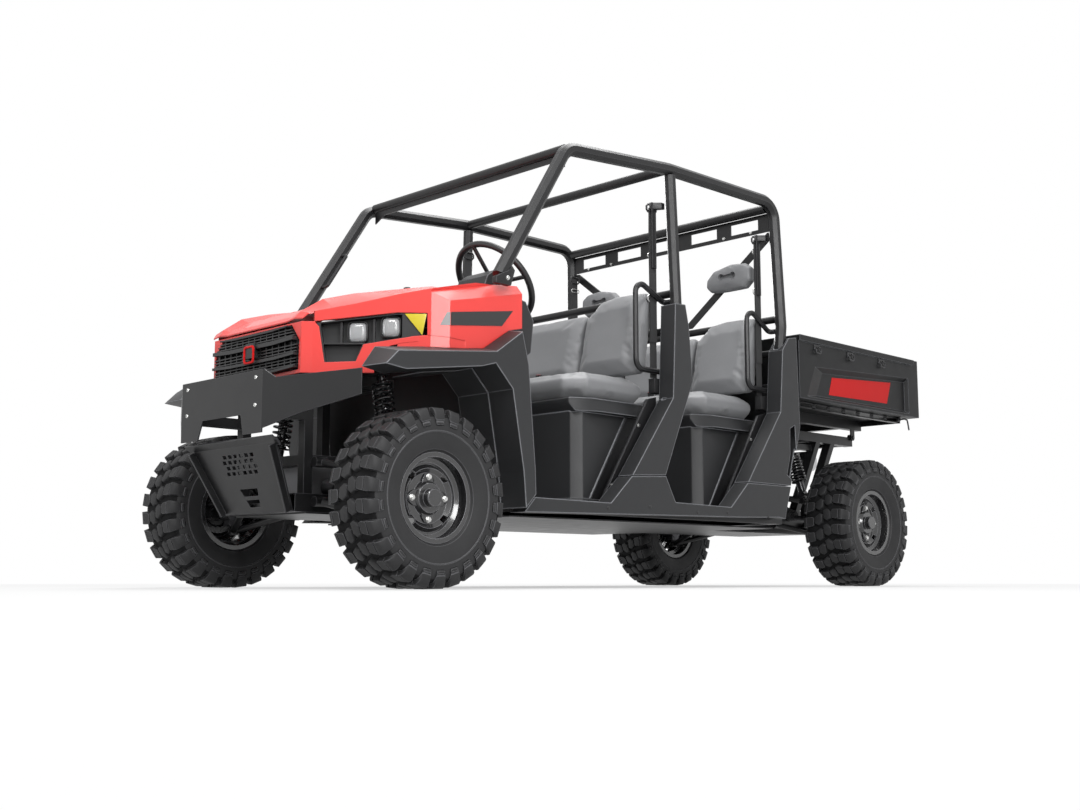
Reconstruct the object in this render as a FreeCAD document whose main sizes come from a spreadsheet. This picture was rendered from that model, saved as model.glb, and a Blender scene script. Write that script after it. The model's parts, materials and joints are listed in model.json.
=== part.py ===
import FreeCAD, Part
import Sketcher
import math
import os
from FreeCAD import Placement, Rotation, Vector

# Crew utility vehicle with two seat rows, an open roll cage and a tipping cargo bed.
# +Z is up, the nose faces -Y and the driver sits on the +X side.
# Cab points are measured back from the front axle, bed points from the rear axle.

doc = FreeCAD.newDocument("crew_utility_vehicle")
sheet = doc.addObject("Spreadsheet::Sheet", "Sizes")

SIZES = [
    ("wheelbase", 3011),
    ("nose_reach", 437),
    ("tail_reach", 576),
    ("track_half", 665.5),
    ("tyre_radius", 330),
    ("tyre_width", 250),
    ("bead_radius", 154),
    ("rim_flange_radius", 167),
    ("rim_width", 196),
    ("rim_sheet", 5),
    ("rim_disc_offset", 70),
    ("hub_bore_radius", 26),
    ("spindle_gap", 0.05),
    ("nut_circle", 156),
    ("nut_seat_radius", 15),
    ("hub_cap_radius", 34),
    ("lug_count", 26),
    ("lug_height", 18),
    ("lug_width", 38),
    ("kingpin_half", 580),
    ("ball_rise", 88),
    ("arm_tube", 28),
    ("arm_spread", 150),
    ("steer_arm", 105),
    ("link_gap", 6),
    ("rail_half", 215),
    ("rail_width", 50),
    ("rail_height", 70),
    ("rail_floor", 290),
    ("rocker_half", 636),
    ("rocker_height", 50),
    ("cross_height", 40),
    ("cross_width", 50),
    ("tube_wall", 4),
    ("skid_sheet", 6),
    ("floor_sheet", 6),
    ("floor_height", 360.3),
    ("cab_half", 606),
    ("panel_half", 745),
    ("panel_depth", 83.7),
    ("panel_wall", 4),
    ("flare_half", 770),
    ("flare_tuck", 62),
    ("well_inner", 452),
    ("fender_half", 692),
    ("split_half", 470),
    ("seat_box_half", 570),
    ("seat_box_depth", 470),
    ("seat_box_top", 757),
    ("seat_row_pitch", 835),
    ("seat_front", 950),
    ("cushion_half", 600),
    ("cushion_thick", 108),
    ("seat_pan_thick", 58),
    ("backrest_thick", 105),
    ("cage_tube", 27),
    ("cage_bend", 95),
    ("cross_tube", 22),
    ("roof_height", 1911),
    ("windscreen_drop", 63),
    ("header_drop", 65),
    ("rear_plate_drop", 45),
    ("rear_plate_height", 94),
    ("guide_drop", 162),
    ("headrest_drop", 271),
    ("bed_half", 735),
    ("bed_wall", 36),
    ("bed_floor_height", 935),
    ("bed_floor_sheet", 22),
    ("bed_side_height", 322),
    ("bed_length", 1140),
    ("tailgate_thick", 42),
    ("tailgate_gap", 8),
    ("bed_rail_half", 398),
    ("bed_rail_height", 56),
    ("bed_rail_width", 40),
    ("pivot_radius", 10),
    ("pivot_lug", 18),
    ("pivot_height", 835),
    ("wheel_rim_radius", 190),
    ("wheel_grip", 14),
    ("column_radius", 19),
    ("column_tilt", 40),
    ("nose_wall", 6),
    ("nose_setback", 152),
    ("nose_half", 306),
    ("lamp_depth", 52),
    ("lamp_pair_rise", 19),
    ("hood_sheet", 5),
    ("hood_gap", 6),
    ("bumper_sheet", 6),
    ("bumper_bolt_x", 484),
    ("bumper_bolt_z", 104),
    ("bumper_bolt_hole", 5.5),
    ("hitch_width", 63.5),
    ("hitch_bore", 50.8),
    ("hitch_pin_radius", 8),
    ("running_gap", 0.3),
]

for row, (alias, value) in enumerate(SIZES, start=1):
    sheet.set("A%d" % row, alias.replace("_", " "))
    sheet.set("B%d" % row, "%s" % value)
    sheet.setAlias("B%d" % row, alias)
doc.recompute()


class Sheet:
    """Reads a size of the sheet by its alias."""

    def __getattr__(self, alias):
        return float(sheet.get(alias))


S = Sheet()
FRONT = -S.wheelbase / 2
REAR = S.wheelbase / 2
NOSE = FRONT - S.nose_reach
TAIL = REAR + S.tail_reach
SHIFT = -(NOSE + TAIL) / 2
NODES = []


# Helpers


def finish(obj, label):
    """Names a sub-part and sets it in the vehicle's frame."""
    obj.Label = label
    obj.Placement = Placement(Vector(0, SHIFT, 0), Rotation()).multiply(obj.Placement)
    NODES.append(obj)
    return obj


def feature(label, shape):
    """A sub-part whose shape comes from curves and sections in space."""
    obj = doc.addObject("Part::Feature", label)
    obj.Shape = shape
    return finish(obj, label)


def group(label, parts):
    """One sub-part of several pieces that don't touch."""
    obj = doc.addObject("Part::Compound", label)
    obj.Links = parts
    return finish(obj, label)


def mirrored(source):
    """The same piece on the other side of the vehicle."""
    obj = doc.addObject("Part::Mirroring", source.Name + "_mirror")
    obj.Source = source
    obj.Normal = Vector(1, 0, 0)
    return obj


def pair(label, source):
    """A left piece and its mirror image as one sub-part."""
    return group(label, [source, mirrored(source)])


def box(name, low, high):
    """A Part box between two corners."""
    obj = doc.addObject("Part::Box", name)
    obj.Length = high[0] - low[0]
    obj.Width = high[1] - low[1]
    obj.Height = high[2] - low[2]
    obj.Placement = Placement(Vector(*low), Rotation())
    return obj


def cylinder(name, start, axis, radius, length):
    """A Part cylinder from a start point along an axis."""
    obj = doc.addObject("Part::Cylinder", name)
    obj.Radius = radius
    obj.Height = length
    turn = Rotation(Vector(0, 0, 1), Vector(*axis))
    obj.Placement = Placement(Vector(*start), turn)
    return obj


def cut(name, base, tool):
    obj = doc.addObject("Part::Cut", name)
    obj.Base = base
    obj.Tool = tool
    return obj


def fuse(name, parts):
    obj = doc.addObject("Part::MultiFuse", name)
    obj.Shapes = parts
    obj.Refine = True
    return obj


def new_body(name):
    return doc.addObject("PartDesign::Body", name)


def draw(body, role, loops, offset=0.0):
    """A sketch of closed outlines on one of the body's own origin planes."""
    sketch = body.newObject("Sketcher::SketchObject", body.Name + "_sketch")
    plane = [f for f in body.Origin.OriginFeatures if f.Role == role][0]
    sketch.AttachmentSupport = [(plane, "")]
    sketch.MapMode = "FlatFace"
    sketch.AttachmentOffset = Placement(Vector(0, 0, offset), Rotation())
    for loop in loops:
        if len(loop) == 3 and not isinstance(loop[0], tuple):
            centre = Vector(loop[0], loop[1], 0)
            sketch.addGeometry(Part.Circle(centre, Vector(0, 0, 1), loop[2]), False)
            continue
        first = sketch.GeometryCount
        count = len(loop)
        for i in range(count):
            a = Vector(loop[i][0], loop[i][1], 0)
            b = Vector(loop[(i + 1) % count][0], loop[(i + 1) % count][1], 0)
            sketch.addGeometry(Part.LineSegment(a, b), False)
        joins = []
        for i in range(count):
            after = first + (i + 1) % count
            joins.append(Sketcher.Constraint("Coincident", first + i, 2, after, 1))
        sketch.addConstraint(joins)
    return sketch


def pad(body, sketch, length, middle=False, back=False):
    """Extrudes a sketch by a number or by an expression on the sheet."""
    step = body.newObject("PartDesign::Pad", body.Name + "_pad")
    step.Profile = sketch
    if isinstance(length, str):
        step.setExpression("Length", length)
    else:
        step.Length = length
    step.Midplane = middle
    step.Reversed = back
    return step


def pocket(body, sketch, length=None, middle=False, back=False):
    """Cuts a sketch through the body, or to a depth."""
    step = body.newObject("PartDesign::Pocket", body.Name + "_pocket")
    step.Profile = sketch
    if length is None:
        step.Type = "ThroughAll"
    elif isinstance(length, str):
        step.setExpression("Length", length)
    else:
        step.Length = length
    step.Midplane = middle
    step.Reversed = back
    return step


def front_cut(body, outline, y, depth):
    """Cuts a front-view outline from a plane at y forward through the nose."""
    return pocket(body, draw(body, "XZ_Plane", [outline], -y), depth, back=True)


def front_cut_all(body, outlines, y, depth):
    """Cuts several front-view outlines in one step."""
    return pocket(body, draw(body, "XZ_Plane", outlines, -y), depth, back=True)


def loft(body, sketches, hollow=False):
    """A ruled loft through sketches, added or cut."""
    kind = "PartDesign::SubtractiveLoft" if hollow else "PartDesign::AdditiveLoft"
    step = body.newObject(kind, body.Name + "_loft")
    step.Profile = sketches[0]
    step.Sections = sketches[1:]
    step.Ruled = True
    return step


def inset(points, distance):
    """An outline moved inward by a wall, corner by corner."""
    count = len(points)
    area = 0.0
    for i in range(count):
        a, b = points[i], points[(i + 1) % count]
        area += a[0] * b[1] - b[0] * a[1]
    side = 1.0 if area > 0 else -1.0
    result = []
    for i in range(count):
        p, q, r = points[i - 1], points[i], points[(i + 1) % count]
        u = Vector(q[0] - p[0], q[1] - p[1], 0).normalize()
        v = Vector(r[0] - q[0], r[1] - q[1], 0).normalize()
        n = Vector(-u.y - v.y, u.x + v.x, 0)
        n.normalize()
        cosine = n.x * -u.y + n.y * u.x
        reach = side * distance / max(cosine, 0.35)
        result.append((q[0] + n.x * reach, q[1] + n.y * reach))
    return result


def strip(points, thickness):
    """A closed outline on the left side of an open run of points."""
    count = len(points)
    other = []
    for i in range(count):
        a = points[max(i - 1, 0)]
        b = points[i]
        c = points[min(i + 1, count - 1)]
        u = Vector(b[0] - a[0], b[1] - a[1], 0)
        v = Vector(c[0] - b[0], c[1] - b[1], 0)
        u = u if u.Length > 0 else v
        v = v if v.Length > 0 else u
        u = Vector(u).normalize()
        v = Vector(v).normalize()
        n = Vector(-u.y - v.y, u.x + v.x, 0).normalize()
        reach = thickness / (n.x * -u.y + n.y * u.x)
        other.append((b[0] + n.x * reach, b[1] + n.y * reach))
    return list(points) + other[::-1]


def rounded_path(points, bends):
    """Straight runs joined by arcs, as a tube is bent, with one bend radius or one a corner."""
    corners = [Vector(*p) for p in points]
    edges = []
    start = corners[0]
    for i in range(1, len(corners) - 1):
        bend = bends[i - 1] if isinstance(bends, (list, tuple)) else bends
        before, at, after = corners[i - 1], corners[i], corners[i + 1]
        u = (before - at).normalize()
        v = (after - at).normalize()
        half = u.getAngle(v) / 2
        reach = bend / math.tan(half)
        enter = at + u * reach
        leave = at + v * reach
        middle = (u + v).normalize()
        centre = at + middle * (bend / math.sin(half))
        top = centre - middle * bend
        edges.append(Part.LineSegment(start, enter).toShape())
        edges.append(Part.Arc(enter, top, leave).toShape())
        start = leave
    edges.append(Part.LineSegment(start, corners[-1]).toShape())
    return Part.Wire(edges)


def tube(points, bend, radius, sides=0):
    """A bent tube, round or with flat sides, as a solid."""
    spine = rounded_path(points, bend)
    along = (Vector(*points[1]) - Vector(*points[0])).normalize()
    start = Vector(*points[0])
    if sides:
        across = Vector(1, 0, 0)
        if abs(along.dot(across)) > 0.9:
            across = Vector(0, 0, 1)
        across = (across - along * across.dot(along)).normalize()
        other = along.cross(across)
        ring = []
        for i in range(sides):
            turn = 2 * math.pi * (i + 0.5) / sides
            reach = radius / math.cos(math.pi / sides)
            ring.append(start + across * (reach * math.cos(turn)) + other * (reach * math.sin(turn)))
        profile = Part.makePolygon(ring + [ring[0]])
    else:
        profile = Part.Wire([Part.Circle(start, along, radius).toShape()])
    return spine.makePipeShell([profile], True, True)


def mirror_shape(shape):
    return shape.mirror(Vector(0, 0, 0), Vector(1, 0, 0))


def both(shape):
    """A shape and its mirror image."""
    return Part.makeCompound([shape, mirror_shape(shape)])


def cab(points):
    """Side-view points measured back from the front axle."""
    return [(FRONT + p[0], p[1]) for p in points]


def tray(name, outline, half, depth, wall, slope=None):
    """A moulded side panel: an outer face with walls that turn in towards the cab."""
    inner = slope if slope else outline
    body = new_body(name)
    outer_face = draw(body, "YZ_Plane", [outline], half)
    inner_face = draw(body, "YZ_Plane", [inner], half - depth)
    loft(body, [outer_face, inner_face])
    share = 1 + 1 / depth
    far = [
        (o[0] + (n[0] - o[0]) * share, o[1] + (n[1] - o[1]) * share)
        for o, n in zip(inset(outline, wall), inset(inner, wall))
    ]
    hollow_near = draw(body, "YZ_Plane", [inset(outline, wall)], half - wall)
    hollow_far = draw(body, "YZ_Plane", [far], half - depth - 1)
    loft(body, [hollow_near, hollow_far], hollow=True)
    return body


# Frame


def ladder_frame():
    """Lower ladder: two main rails, two rockers and cross members."""
    front = FRONT - 250
    rear = REAR + 225
    base = S.rail_floor
    pieces = []
    x = S.rail_half
    w = S.rail_width / 2
    for side in (-1, 1):
        low = (side * x - w, front, base)
        high = (side * x + w, rear, base + S.rail_height)
        rail = box("main_rail", low, high)
        wall = S.tube_wall
        core = box("main_rail_core", (low[0] + wall, front - 1, base + wall),
                   (high[0] - wall, rear + 1, base + S.rail_height - wall))
        pieces.append(cut("main_rail_tube", rail, core))
        rocker_low = (side * S.rocker_half - w, FRONT + 520, base + 15)
        rocker_high = (side * S.rocker_half + w, FRONT + 2330, base + 15 + S.rocker_height)
        pieces.append(box("rocker", rocker_low, rocker_high))
    reach = S.rocker_half - w
    inner = x - w
    for behind in (540, 950, 1250, 1785, 2285):
        y = FRONT + behind
        low = (inner - 1 + S.rail_width, y, base + 15)
        high = (reach + 1, y + S.cross_width, base + 15 + S.cross_height)
        outrigger = box("outrigger", low, high)
        pieces += [outrigger, mirrored(outrigger)]
        tie = box("tie", (-inner - 1, y, base), (inner + 1, y + S.cross_width, base + S.cross_height))
        pieces.append(tie)
    for y in (front, FRONT + 80, REAR - 300, rear - S.cross_width):
        tie = box("end_tie", (-inner - 1, y, base), (inner + 1, y + S.cross_width, base + S.cross_height))
        pieces.append(tie)
    return fuse("ladder", pieces)


def front_frame():
    """Upright frame over the front axle with shock towers and bumper horns."""
    base = S.rail_floor + S.rail_height
    x = S.rail_half
    w = 20
    pieces = []
    for side in (-1, 1):
        for y in (FRONT - 190, FRONT + 200):
            pieces.append(box("upright", (side * x - w, y - w, base), (side * x + w, y + w, 840)))
        for z in (470, 800):
            pieces.append(box("side_bar", (side * x - w, FRONT - 190, z), (side * x + w, FRONT + 200, z + 40)))
        pieces.append(box("horn", (side * x - w, NOSE + S.bumper_sheet + S.running_gap, 640), (side * x + w, FRONT - 190, 680)))
        pieces.append(box("tower", (side * x - w, FRONT + 60, 840), (side * x + w, FRONT + 130, 880)))
        pieces.append(box("nose_stay", (side * x - w, NOSE + S.nose_setback + S.nose_wall + S.running_gap, 796),
                          (side * x + w, FRONT - 190, 815)))
    for y in (FRONT - 190, FRONT + 200):
        for z in (470, 800):
            pieces.append(box("cross_bar", (-x, y - w, z), (x, y + w, z + 40)))
    pieces.append(box("shock_bar", (-x - 130, FRONT + 62, 840), (x + 130, FRONT + 112, 870)))
    return fuse("front_tower", pieces)


def rear_frame():
    """Bed rails on uprights behind the cab, with the tipping pivots."""
    base = S.rail_floor + S.rail_height
    top = S.pivot_height
    x = 380
    w = 25
    pieces = []
    pivot = REAR + 395
    front = REAR - 640
    lug_face = S.bed_rail_half + S.bed_rail_width / 2
    for side in (-1, 1):
        pieces.append(box("bed_rest", (side * x - w, front, top - 50), (side * x + w, pivot + 12, top)))
        for y in (REAR - 600, REAR + 40, REAR + 183):
            inner = S.rail_half - 25
            leg = Part.makeLoft([
                Part.makePolygon([Vector(side * inner, y, base), Vector(side * (inner + 50), y, base),
                                  Vector(side * (inner + 50), y + 40, base), Vector(side * inner, y + 40, base),
                                  Vector(side * inner, y, base)]),
                Part.makePolygon([Vector(side * (x - w), y, top - 49), Vector(side * (x + w), y, top - 49),
                                  Vector(side * (x + w), y + 40, top - 49), Vector(side * (x - w), y + 40, top - 49),
                                  Vector(side * (x - w), y, top - 49)])], True)
            obj = doc.addObject("Part::Feature", "rear_leg")
            obj.Shape = leg
            pieces.append(obj)
        lug = cylinder("pivot_ear", (side * (x + w) - side * 14, pivot, top), (side, 0, 0), S.pivot_lug, 14)
        pin = cylinder("pivot_pin", (side * (x + w) - side * 1, pivot, top), (side, 0, 0),
                       S.pivot_radius, lug_face - x - w + 6)
        pieces += [lug, pin]
        pieces.append(box("rest_block", (side * x - w + 5, front + 40, top - 1),
                          (side * x + w - 15, front + 100, top + bed_seat_gap())))
        pieces.append(box("arm_bar", (side * S.rail_half - 20, REAR - 190, 465),
                          (side * S.rail_half + 20, REAR + 222, 495)))
        for y in (REAR - 190, REAR + 182):
            pieces.append(box("arm_upright", (side * S.rail_half - 20, y, base),
                              (side * S.rail_half + 20, y + 40, 495)))
        pieces.append(box("shock_link", (side * 350 - 20, REAR - 112, 740), (side * 350 + 20, REAR + 60, 770)))
    pieces.append(box("rear_shock_bar", (-350, REAR - 112, 740), (350, REAR - 62, 770)))
    for y in (front, REAR - 20, REAR + 340):
        pieces.append(box("rear_cross", (-x, y, top - 50), (x, y + 40, top - 10)))
    return fuse("rear_tower", pieces)


def bed_seat_gap():
    """Height of the rest block between the chassis rail and the bed rail."""
    return S.bed_floor_height - S.bed_rail_height - S.pivot_height - S.running_gap


def skid_plates():
    """Flat belly sheets under the ladder."""
    top = S.rail_floor - 0.0
    reach = S.rocker_half - 30
    front = box("belly_front", (-S.rail_half - 25, FRONT - 200, top - S.skid_sheet),
                (S.rail_half + 25, FRONT + 520, top))
    mid = box("belly_mid", (-reach, FRONT + 520.0, top - S.skid_sheet), (reach, FRONT + 2330, top))
    rear = box("belly_rear", (-S.rail_half - 25, FRONT + 2330.0, top - S.skid_sheet),
               (S.rail_half + 25, REAR + 200, top))
    belly = fuse("belly", [front, mid, rear])
    return group("skid_plates", [belly, bash_plate()])


def hitch():
    """Square receiver under the tail with a cross hole for its pin."""
    half = S.hitch_width / 2
    bore = S.hitch_bore / 2
    end = REAR + 500
    z = 400
    outer = box("receiver", (-half, REAR + 216, z - half), (half, end, z + half))
    core = box("receiver_core", (-bore, REAR + 260, z - bore), (bore, end + 1, z + bore))
    hole = cylinder("receiver_hole", (-half - 1, end - 60, z), (1, 0, 0), S.hitch_pin_radius, 2 * half + 2)
    tool = fuse("receiver_tools", [core, hole])
    arm = box("receiver_arm", (-half, REAR + 175, S.rail_floor), (half, REAR + 232, z - half + 1))
    return fuse("receiver_fuse", [cut("receiver_tube", outer, tool), arm])


def chassis():
    """The welded frame: ladder, front and rear towers and the tow receiver."""
    parts = [ladder_frame(), front_frame(), rear_frame(), hitch()]
    return finish(fuse("frame_weldment", parts), "chassis_frame")


# Running gear


def rim_profile():
    """Half section of the rim about the wheel's axis, in (offset, radius)."""
    w = S.rim_width / 2
    t = S.rim_sheet
    r = S.bead_radius - S.running_gap
    f = S.rim_flange_radius
    outside = [(-w, f), (-w + t, f), (-w + t, r), (-w + 38, r - 2), (-w + 50, r - 20),
               (w - 50, r - 20), (w - 38, r - 2), (w - t, r), (w - t, f), (w, f)]
    inside = [(w, r - t), (w - 40, r - t - 2), (w - 52, r - 20 - t), (-w + 52, r - 20 - t),
              (-w + 40, r - t - 2), (-w, r - t)]
    return outside + inside


def tyre_ring(offset, radius):
    """A regular polygon about the wheel's axis, with its flats at a radius."""
    count = int(S.lug_count)
    reach = radius / math.cos(math.pi / count)
    points = []
    for i in range(count + 1):
        turn = 2 * math.pi * (i + 0.5) / count
        points.append(Vector(offset, reach * math.sin(turn), -reach * math.cos(turn)))
    return Part.makePolygon(points)


def ring_loft(stations):
    return Part.makeLoft([tyre_ring(*station) for station in stations], True, True)


def tyre_shape():
    """Carcass of flat-sided rings with a staggered row of shoulder lugs on each side."""
    half = S.tyre_width / 2
    bead = S.rim_width / 2 - S.rim_sheet - S.running_gap
    top = S.tyre_radius
    base = top - S.lug_height
    low = S.bead_radius
    foot = S.rim_flange_radius + 1
    outer = ring_loft([(3 - bead, low), (-bead, foot), (-half, base - 30), (-half + 24, base), (half - 24, base),
                       (half, base - 30), (bead, foot), (bead - 3, low)])
    bore = ring_loft([(-bead - 1, low), (bead + 1, low)])
    room = ring_loft([(-bead + 14, low - 1), (-half + 22, base - 44), (-half + 34, base - 16),
                      (half - 34, base - 16), (half - 22, base - 44), (bead - 14, low - 1)])
    lugs = []
    count = int(S.lug_count)
    wide = S.lug_width / 2
    for side in (-1, 1):
        section = [(half - 88, base - 6), (half - 84, top), (half - 16, top), (half, base - 30),
                   (half - 24, base - 10)]
        face = Part.makePolygon([Vector(side * p[0], -wide, -p[1]) for p in section + section[:1]])
        lug = Part.Face(face).extrude(Vector(0, 2 * wide, 0))
        for i in range(count):
            turned = lug.copy()
            turn = 360.0 * (i + (0.5 if side < 0 else 0.0)) / count
            turned.rotate(Vector(0, 0, 0), Vector(1, 0, 0), turn)
            lugs.append(turned)
    return outer.multiFuse(lugs).cut([bore, room]).removeSplitter()


def revolve_x(name, outline, x, y, z):
    """A body turned about an axis along X through a point, from (offset, radius) pairs."""
    body = new_body(name)
    points = [(x + p[0], p[1]) for p in outline]
    sketch = draw(body, "XY_Plane", [points])
    step = body.newObject("PartDesign::Revolution", name + "_turn")
    step.Profile = sketch
    step.ReferenceAxis = (sketch, ["H_Axis"])
    step.Angle = 360
    return body


def disc_windows(x):
    """Four openings near the edge of the disc, between the wheel nuts."""
    tools = []
    for i in range(4):
        half = [(96, 13), (119, 19)]
        outline = [Vector(x - 60, -half[0][1], half[0][0]), Vector(x - 60, half[0][1], half[0][0]),
                   Vector(x - 60, half[1][1], half[1][0]), Vector(x - 60, -half[1][1], half[1][0])]
        tool = Part.Face(Part.makePolygon(outline + outline[:1])).extrude(Vector(120, 0, 0))
        tool.rotate(Vector(0, 0, 0), Vector(1, 0, 0), 45 + 90 * i)
        tools.append(tool)
    return Part.makeCompound(tools)


def wheel_parts():
    """Rim with its disc, hub cap and nut seats, and the tyre, both centred on the wheel's axis."""
    disc = S.rim_disc_offset
    drop = S.bead_radius - 22
    bore = S.hub_bore_radius
    cap = S.hub_cap_radius
    end = S.rim_width / 2 - 4
    face = [(disc - 12, bore), (disc - 12, 52), (disc - 30, 66), (disc - 30, 92), (disc - 16, 108),
            (disc - 30, drop - 10), (disc - 30, drop - 1), (disc - 22, drop - 1), (disc - 22, drop - 8),
            (disc - 8, 110), (disc - 22, 94), (disc - 22, 68), (disc - 4, 54), (disc - 4, cap),
            (end - 3, cap), (end, cap - 3), (end, 0), (end - 4, 0), (end - 4, bore)]
    barrel = revolve_x("rim_barrel", rim_profile(), 0, 0, 0)
    plate = revolve_x("rim_disc", face, 0, 0, 0)
    seats = [cylinder("nut_seat", (disc - 31, S.nut_circle / 2 * math.cos(math.pi / 2 * i),
                                   S.nut_circle / 2 * math.sin(math.pi / 2 * i)), (1, 0, 0), S.nut_seat_radius, 13)
             for i in range(4)]
    windows = doc.addObject("Part::Feature", "disc_windows")
    windows.Shape = disc_windows(disc - 20)
    rim = cut("rim_cut", fuse("rim_fuse", [barrel, plate] + seats), windows)
    tyre = doc.addObject("Part::Feature", "tyre_carcass")
    tyre.Shape = tyre_shape()
    return rim, tyre


def wheel(corner, side, y, parts):
    """One corner's rim and tyre, set on the axle."""
    for source, label in zip(parts, ("rim_" + corner, "tyre_" + corner)):
        seated = doc.addObject("Part::Compound", label + "_axle")
        seated.Links = [source]
        seated.Placement = Placement(Vector(S.track_half, y, S.tyre_radius), Rotation())
        final = mirrored(seated) if side < 0 else seated
        group(label, [final])


def knuckle_shape(y, steered):
    """Upright between the ball joints with the spindle, on the left side."""
    z = S.tyre_radius
    k = S.kingpin_half
    rise = S.ball_rise
    post = Part.makeBox(44, 60, 2 * rise - 50, Vector(k - 16, y - 30, z - rise + 25))
    reach = rise - 15 - S.running_gap
    studs = Part.makeCylinder(11, 2 * reach, Vector(k, y, z - reach), Vector(0, 0, 1))
    carrier = Part.makeCylinder(48, 70, Vector(k - 20, y, z), Vector(1, 0, 0))
    reach = S.track_half + S.rim_width / 2 - 8 - S.running_gap - k - 30
    spindle = Part.makeCylinder(S.hub_bore_radius - S.spindle_gap, reach, Vector(k + 30, y, z), Vector(1, 0, 0))
    shape = post.fuse([carrier, spindle, studs])
    if steered:
        reach = S.steer_arm
        arm = Part.makeBox(30, reach + 14, 14, Vector(k - 15, y, z + 20))
        shape = shape.fuse(arm)
    stub = Part.makeCylinder(14, 30, Vector(k - 50, y, z), Vector(1, 0, 0))
    return shape.fuse(stub).removeSplitter()


def knuckles():
    shape = knuckle_shape(FRONT, True)
    feature("knuckle_left", shape)
    feature("knuckle_right", mirror_shape(shape))
    feature("rear_hub_carriers", both(knuckle_shape(REAR, False)))


def wishbone(y, z_frame, z_ball, inner):
    """One A-arm on the left: two legs from the frame to a ball joint seat."""
    k = S.kingpin_half
    r = S.arm_tube / 2
    ball = Vector(k, y, z_ball)
    parts = []
    for side in (-1, 1):
        root = Vector(inner, y + side * S.arm_spread, z_frame)
        along = ball - root
        parts.append(Part.makeCylinder(r, along.Length - 20, root, along))
        parts.append(Part.makeCylinder(r + 6, 56, root + Vector(0, -28, 0), Vector(0, 1, 0)))
    seat = Part.makeCylinder(21, 30, Vector(k, y, z_ball - 15), Vector(0, 0, 1))
    parts.append(seat)
    shape = parts[0].fuse(parts[1:])
    return shape.removeSplitter()


def axle_suspension(y, shock_side, top):
    """Upper and lower arms and coil-over shocks of one axle."""
    z = S.tyre_radius
    rise = S.ball_rise
    seat = S.arm_tube / 2 + 6 + S.running_gap
    lower = wishbone(y, S.rail_floor + 40, z - rise, S.rail_half + S.rail_width / 2 + seat)
    upper = wishbone(y, 482, z + rise, S.rail_half + 20 + seat)
    foot = Vector(392, y + shock_side * 87, 493)
    lean = 20 * math.sin(math.atan2(72, top - 4 - foot.z)) + S.running_gap
    head = Vector(320, y + shock_side * 87, top - lean)
    lug = Part.makeBox(30, 36, 32, foot + Vector(-15, -18, -20 - S.running_gap - 32))
    arms = both(Part.makeCompound([lower, upper.fuse(lug).removeSplitter()]))
    along = (head - foot)
    unit = Vector(along).normalize()
    body = Part.makeCylinder(20, along.Length, foot, unit)
    coil = Part.makeCylinder(43, along.Length * 0.62, foot + unit * (along.Length * 0.28), unit)
    eye = Part.makeCylinder(20, 36, foot + Vector(0, -18, 0), Vector(0, 1, 0))
    return arms, both(body.fuse([coil, eye]).removeSplitter())


def suspension():
    front_arms, front_shocks = axle_suspension(FRONT, 1, 840)
    rear_arms, rear_shocks = axle_suspension(REAR, -1, 740)
    feature("suspension_arms", Part.makeCompound([front_arms, rear_arms]))
    feature("shock_absorbers", Part.makeCompound([front_shocks, rear_shocks]))


def driveline():
    """Front differential, rear transaxle, engine block, half shafts and the long shaft."""
    z = S.tyre_radius + 72
    front = box("front_gears", (-95, FRONT - 110, z - 75), (95, FRONT + 70, z + 75))
    rear = box("rear_gears", (-120, REAR - 160, z - 75), (120, REAR + 120, z + 100))
    engine = box("engine_mass", (-185, REAR - 570, 372), (185, REAR - 175, 760))
    group("powertrain", [front, rear, engine])
    shafts = []
    for y, half in ((FRONT, 97), (REAR, 122.6)):
        start = Vector(half, y, z)
        end = Vector(S.kingpin_half - 53, y, S.tyre_radius)
        along = end - start
        bar = Part.makeCylinder(13, along.Length, start, along)
        boot_a = Part.makeCone(34, 22, 60, start + Vector(along).normalize() * 5, along)
        boot_b = Part.makeCone(22, 30, 50, end - Vector(along).normalize() * 54, along)
        shafts.append(both(bar.fuse([boot_a, boot_b])))
    long_shaft = Part.makeCylinder(12, S.wheelbase - 70.3 - 160.3, Vector(0, FRONT + 70.3, 343),
                                   Vector(0, 1, 0))
    feature("drive_shafts", Part.makeCompound(shafts + [long_shaft]))


def steering_rack():
    """Rack housing across the frame and the sliding rack with its two links."""
    y = FRONT + S.steer_arm
    z = S.tyre_radius + 34 + S.link_gap + 11
    bore = 9
    half = 150
    tube_out = Part.makeCylinder(24, 2 * half, Vector(-half, y, z), Vector(1, 0, 0))
    tube_in = Part.makeCylinder(bore + 0.05, 2 * half + 2, Vector(-half - 1, y, z), Vector(1, 0, 0))
    seat = S.rail_floor + S.cross_height + S.running_gap
    feet = [Part.makeBox(34, 40, z - seat, Vector(side * 120 - 17, y - 20, seat)) for side in (-1, 1)]
    feature("steering_rack_housing", tube_out.fuse(feet).cut(tube_in).removeSplitter())
    rod = Part.makeCylinder(bore, 2 * S.kingpin_half - 20, Vector(-S.kingpin_half + 10, y, z), Vector(1, 0, 0))
    ends = []
    for side in (-1, 1):
        ends.append(Part.makeCylinder(16, 22, Vector(side * S.kingpin_half, y, z - 11), Vector(0, 0, 1)))
    feature("tie_rods", rod.fuse(ends).removeSplitter())


# Body


def floor():
    """Moulded floor, toe board, firewall and rear bulkhead in one folded sheet."""
    z = S.floor_height
    run = cab([(513, 1120), (516, 700), (530, 480), (600, z), (2290, z), (2330, 420), (2340, 1010)])
    body = new_body("floor_body")
    sketch = draw(body, "YZ_Plane", [strip(run, S.floor_sheet)])
    pad(body, sketch, "2 * Sizes.cab_half", middle=True)
    return finish(body, "floor_pan")


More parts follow.
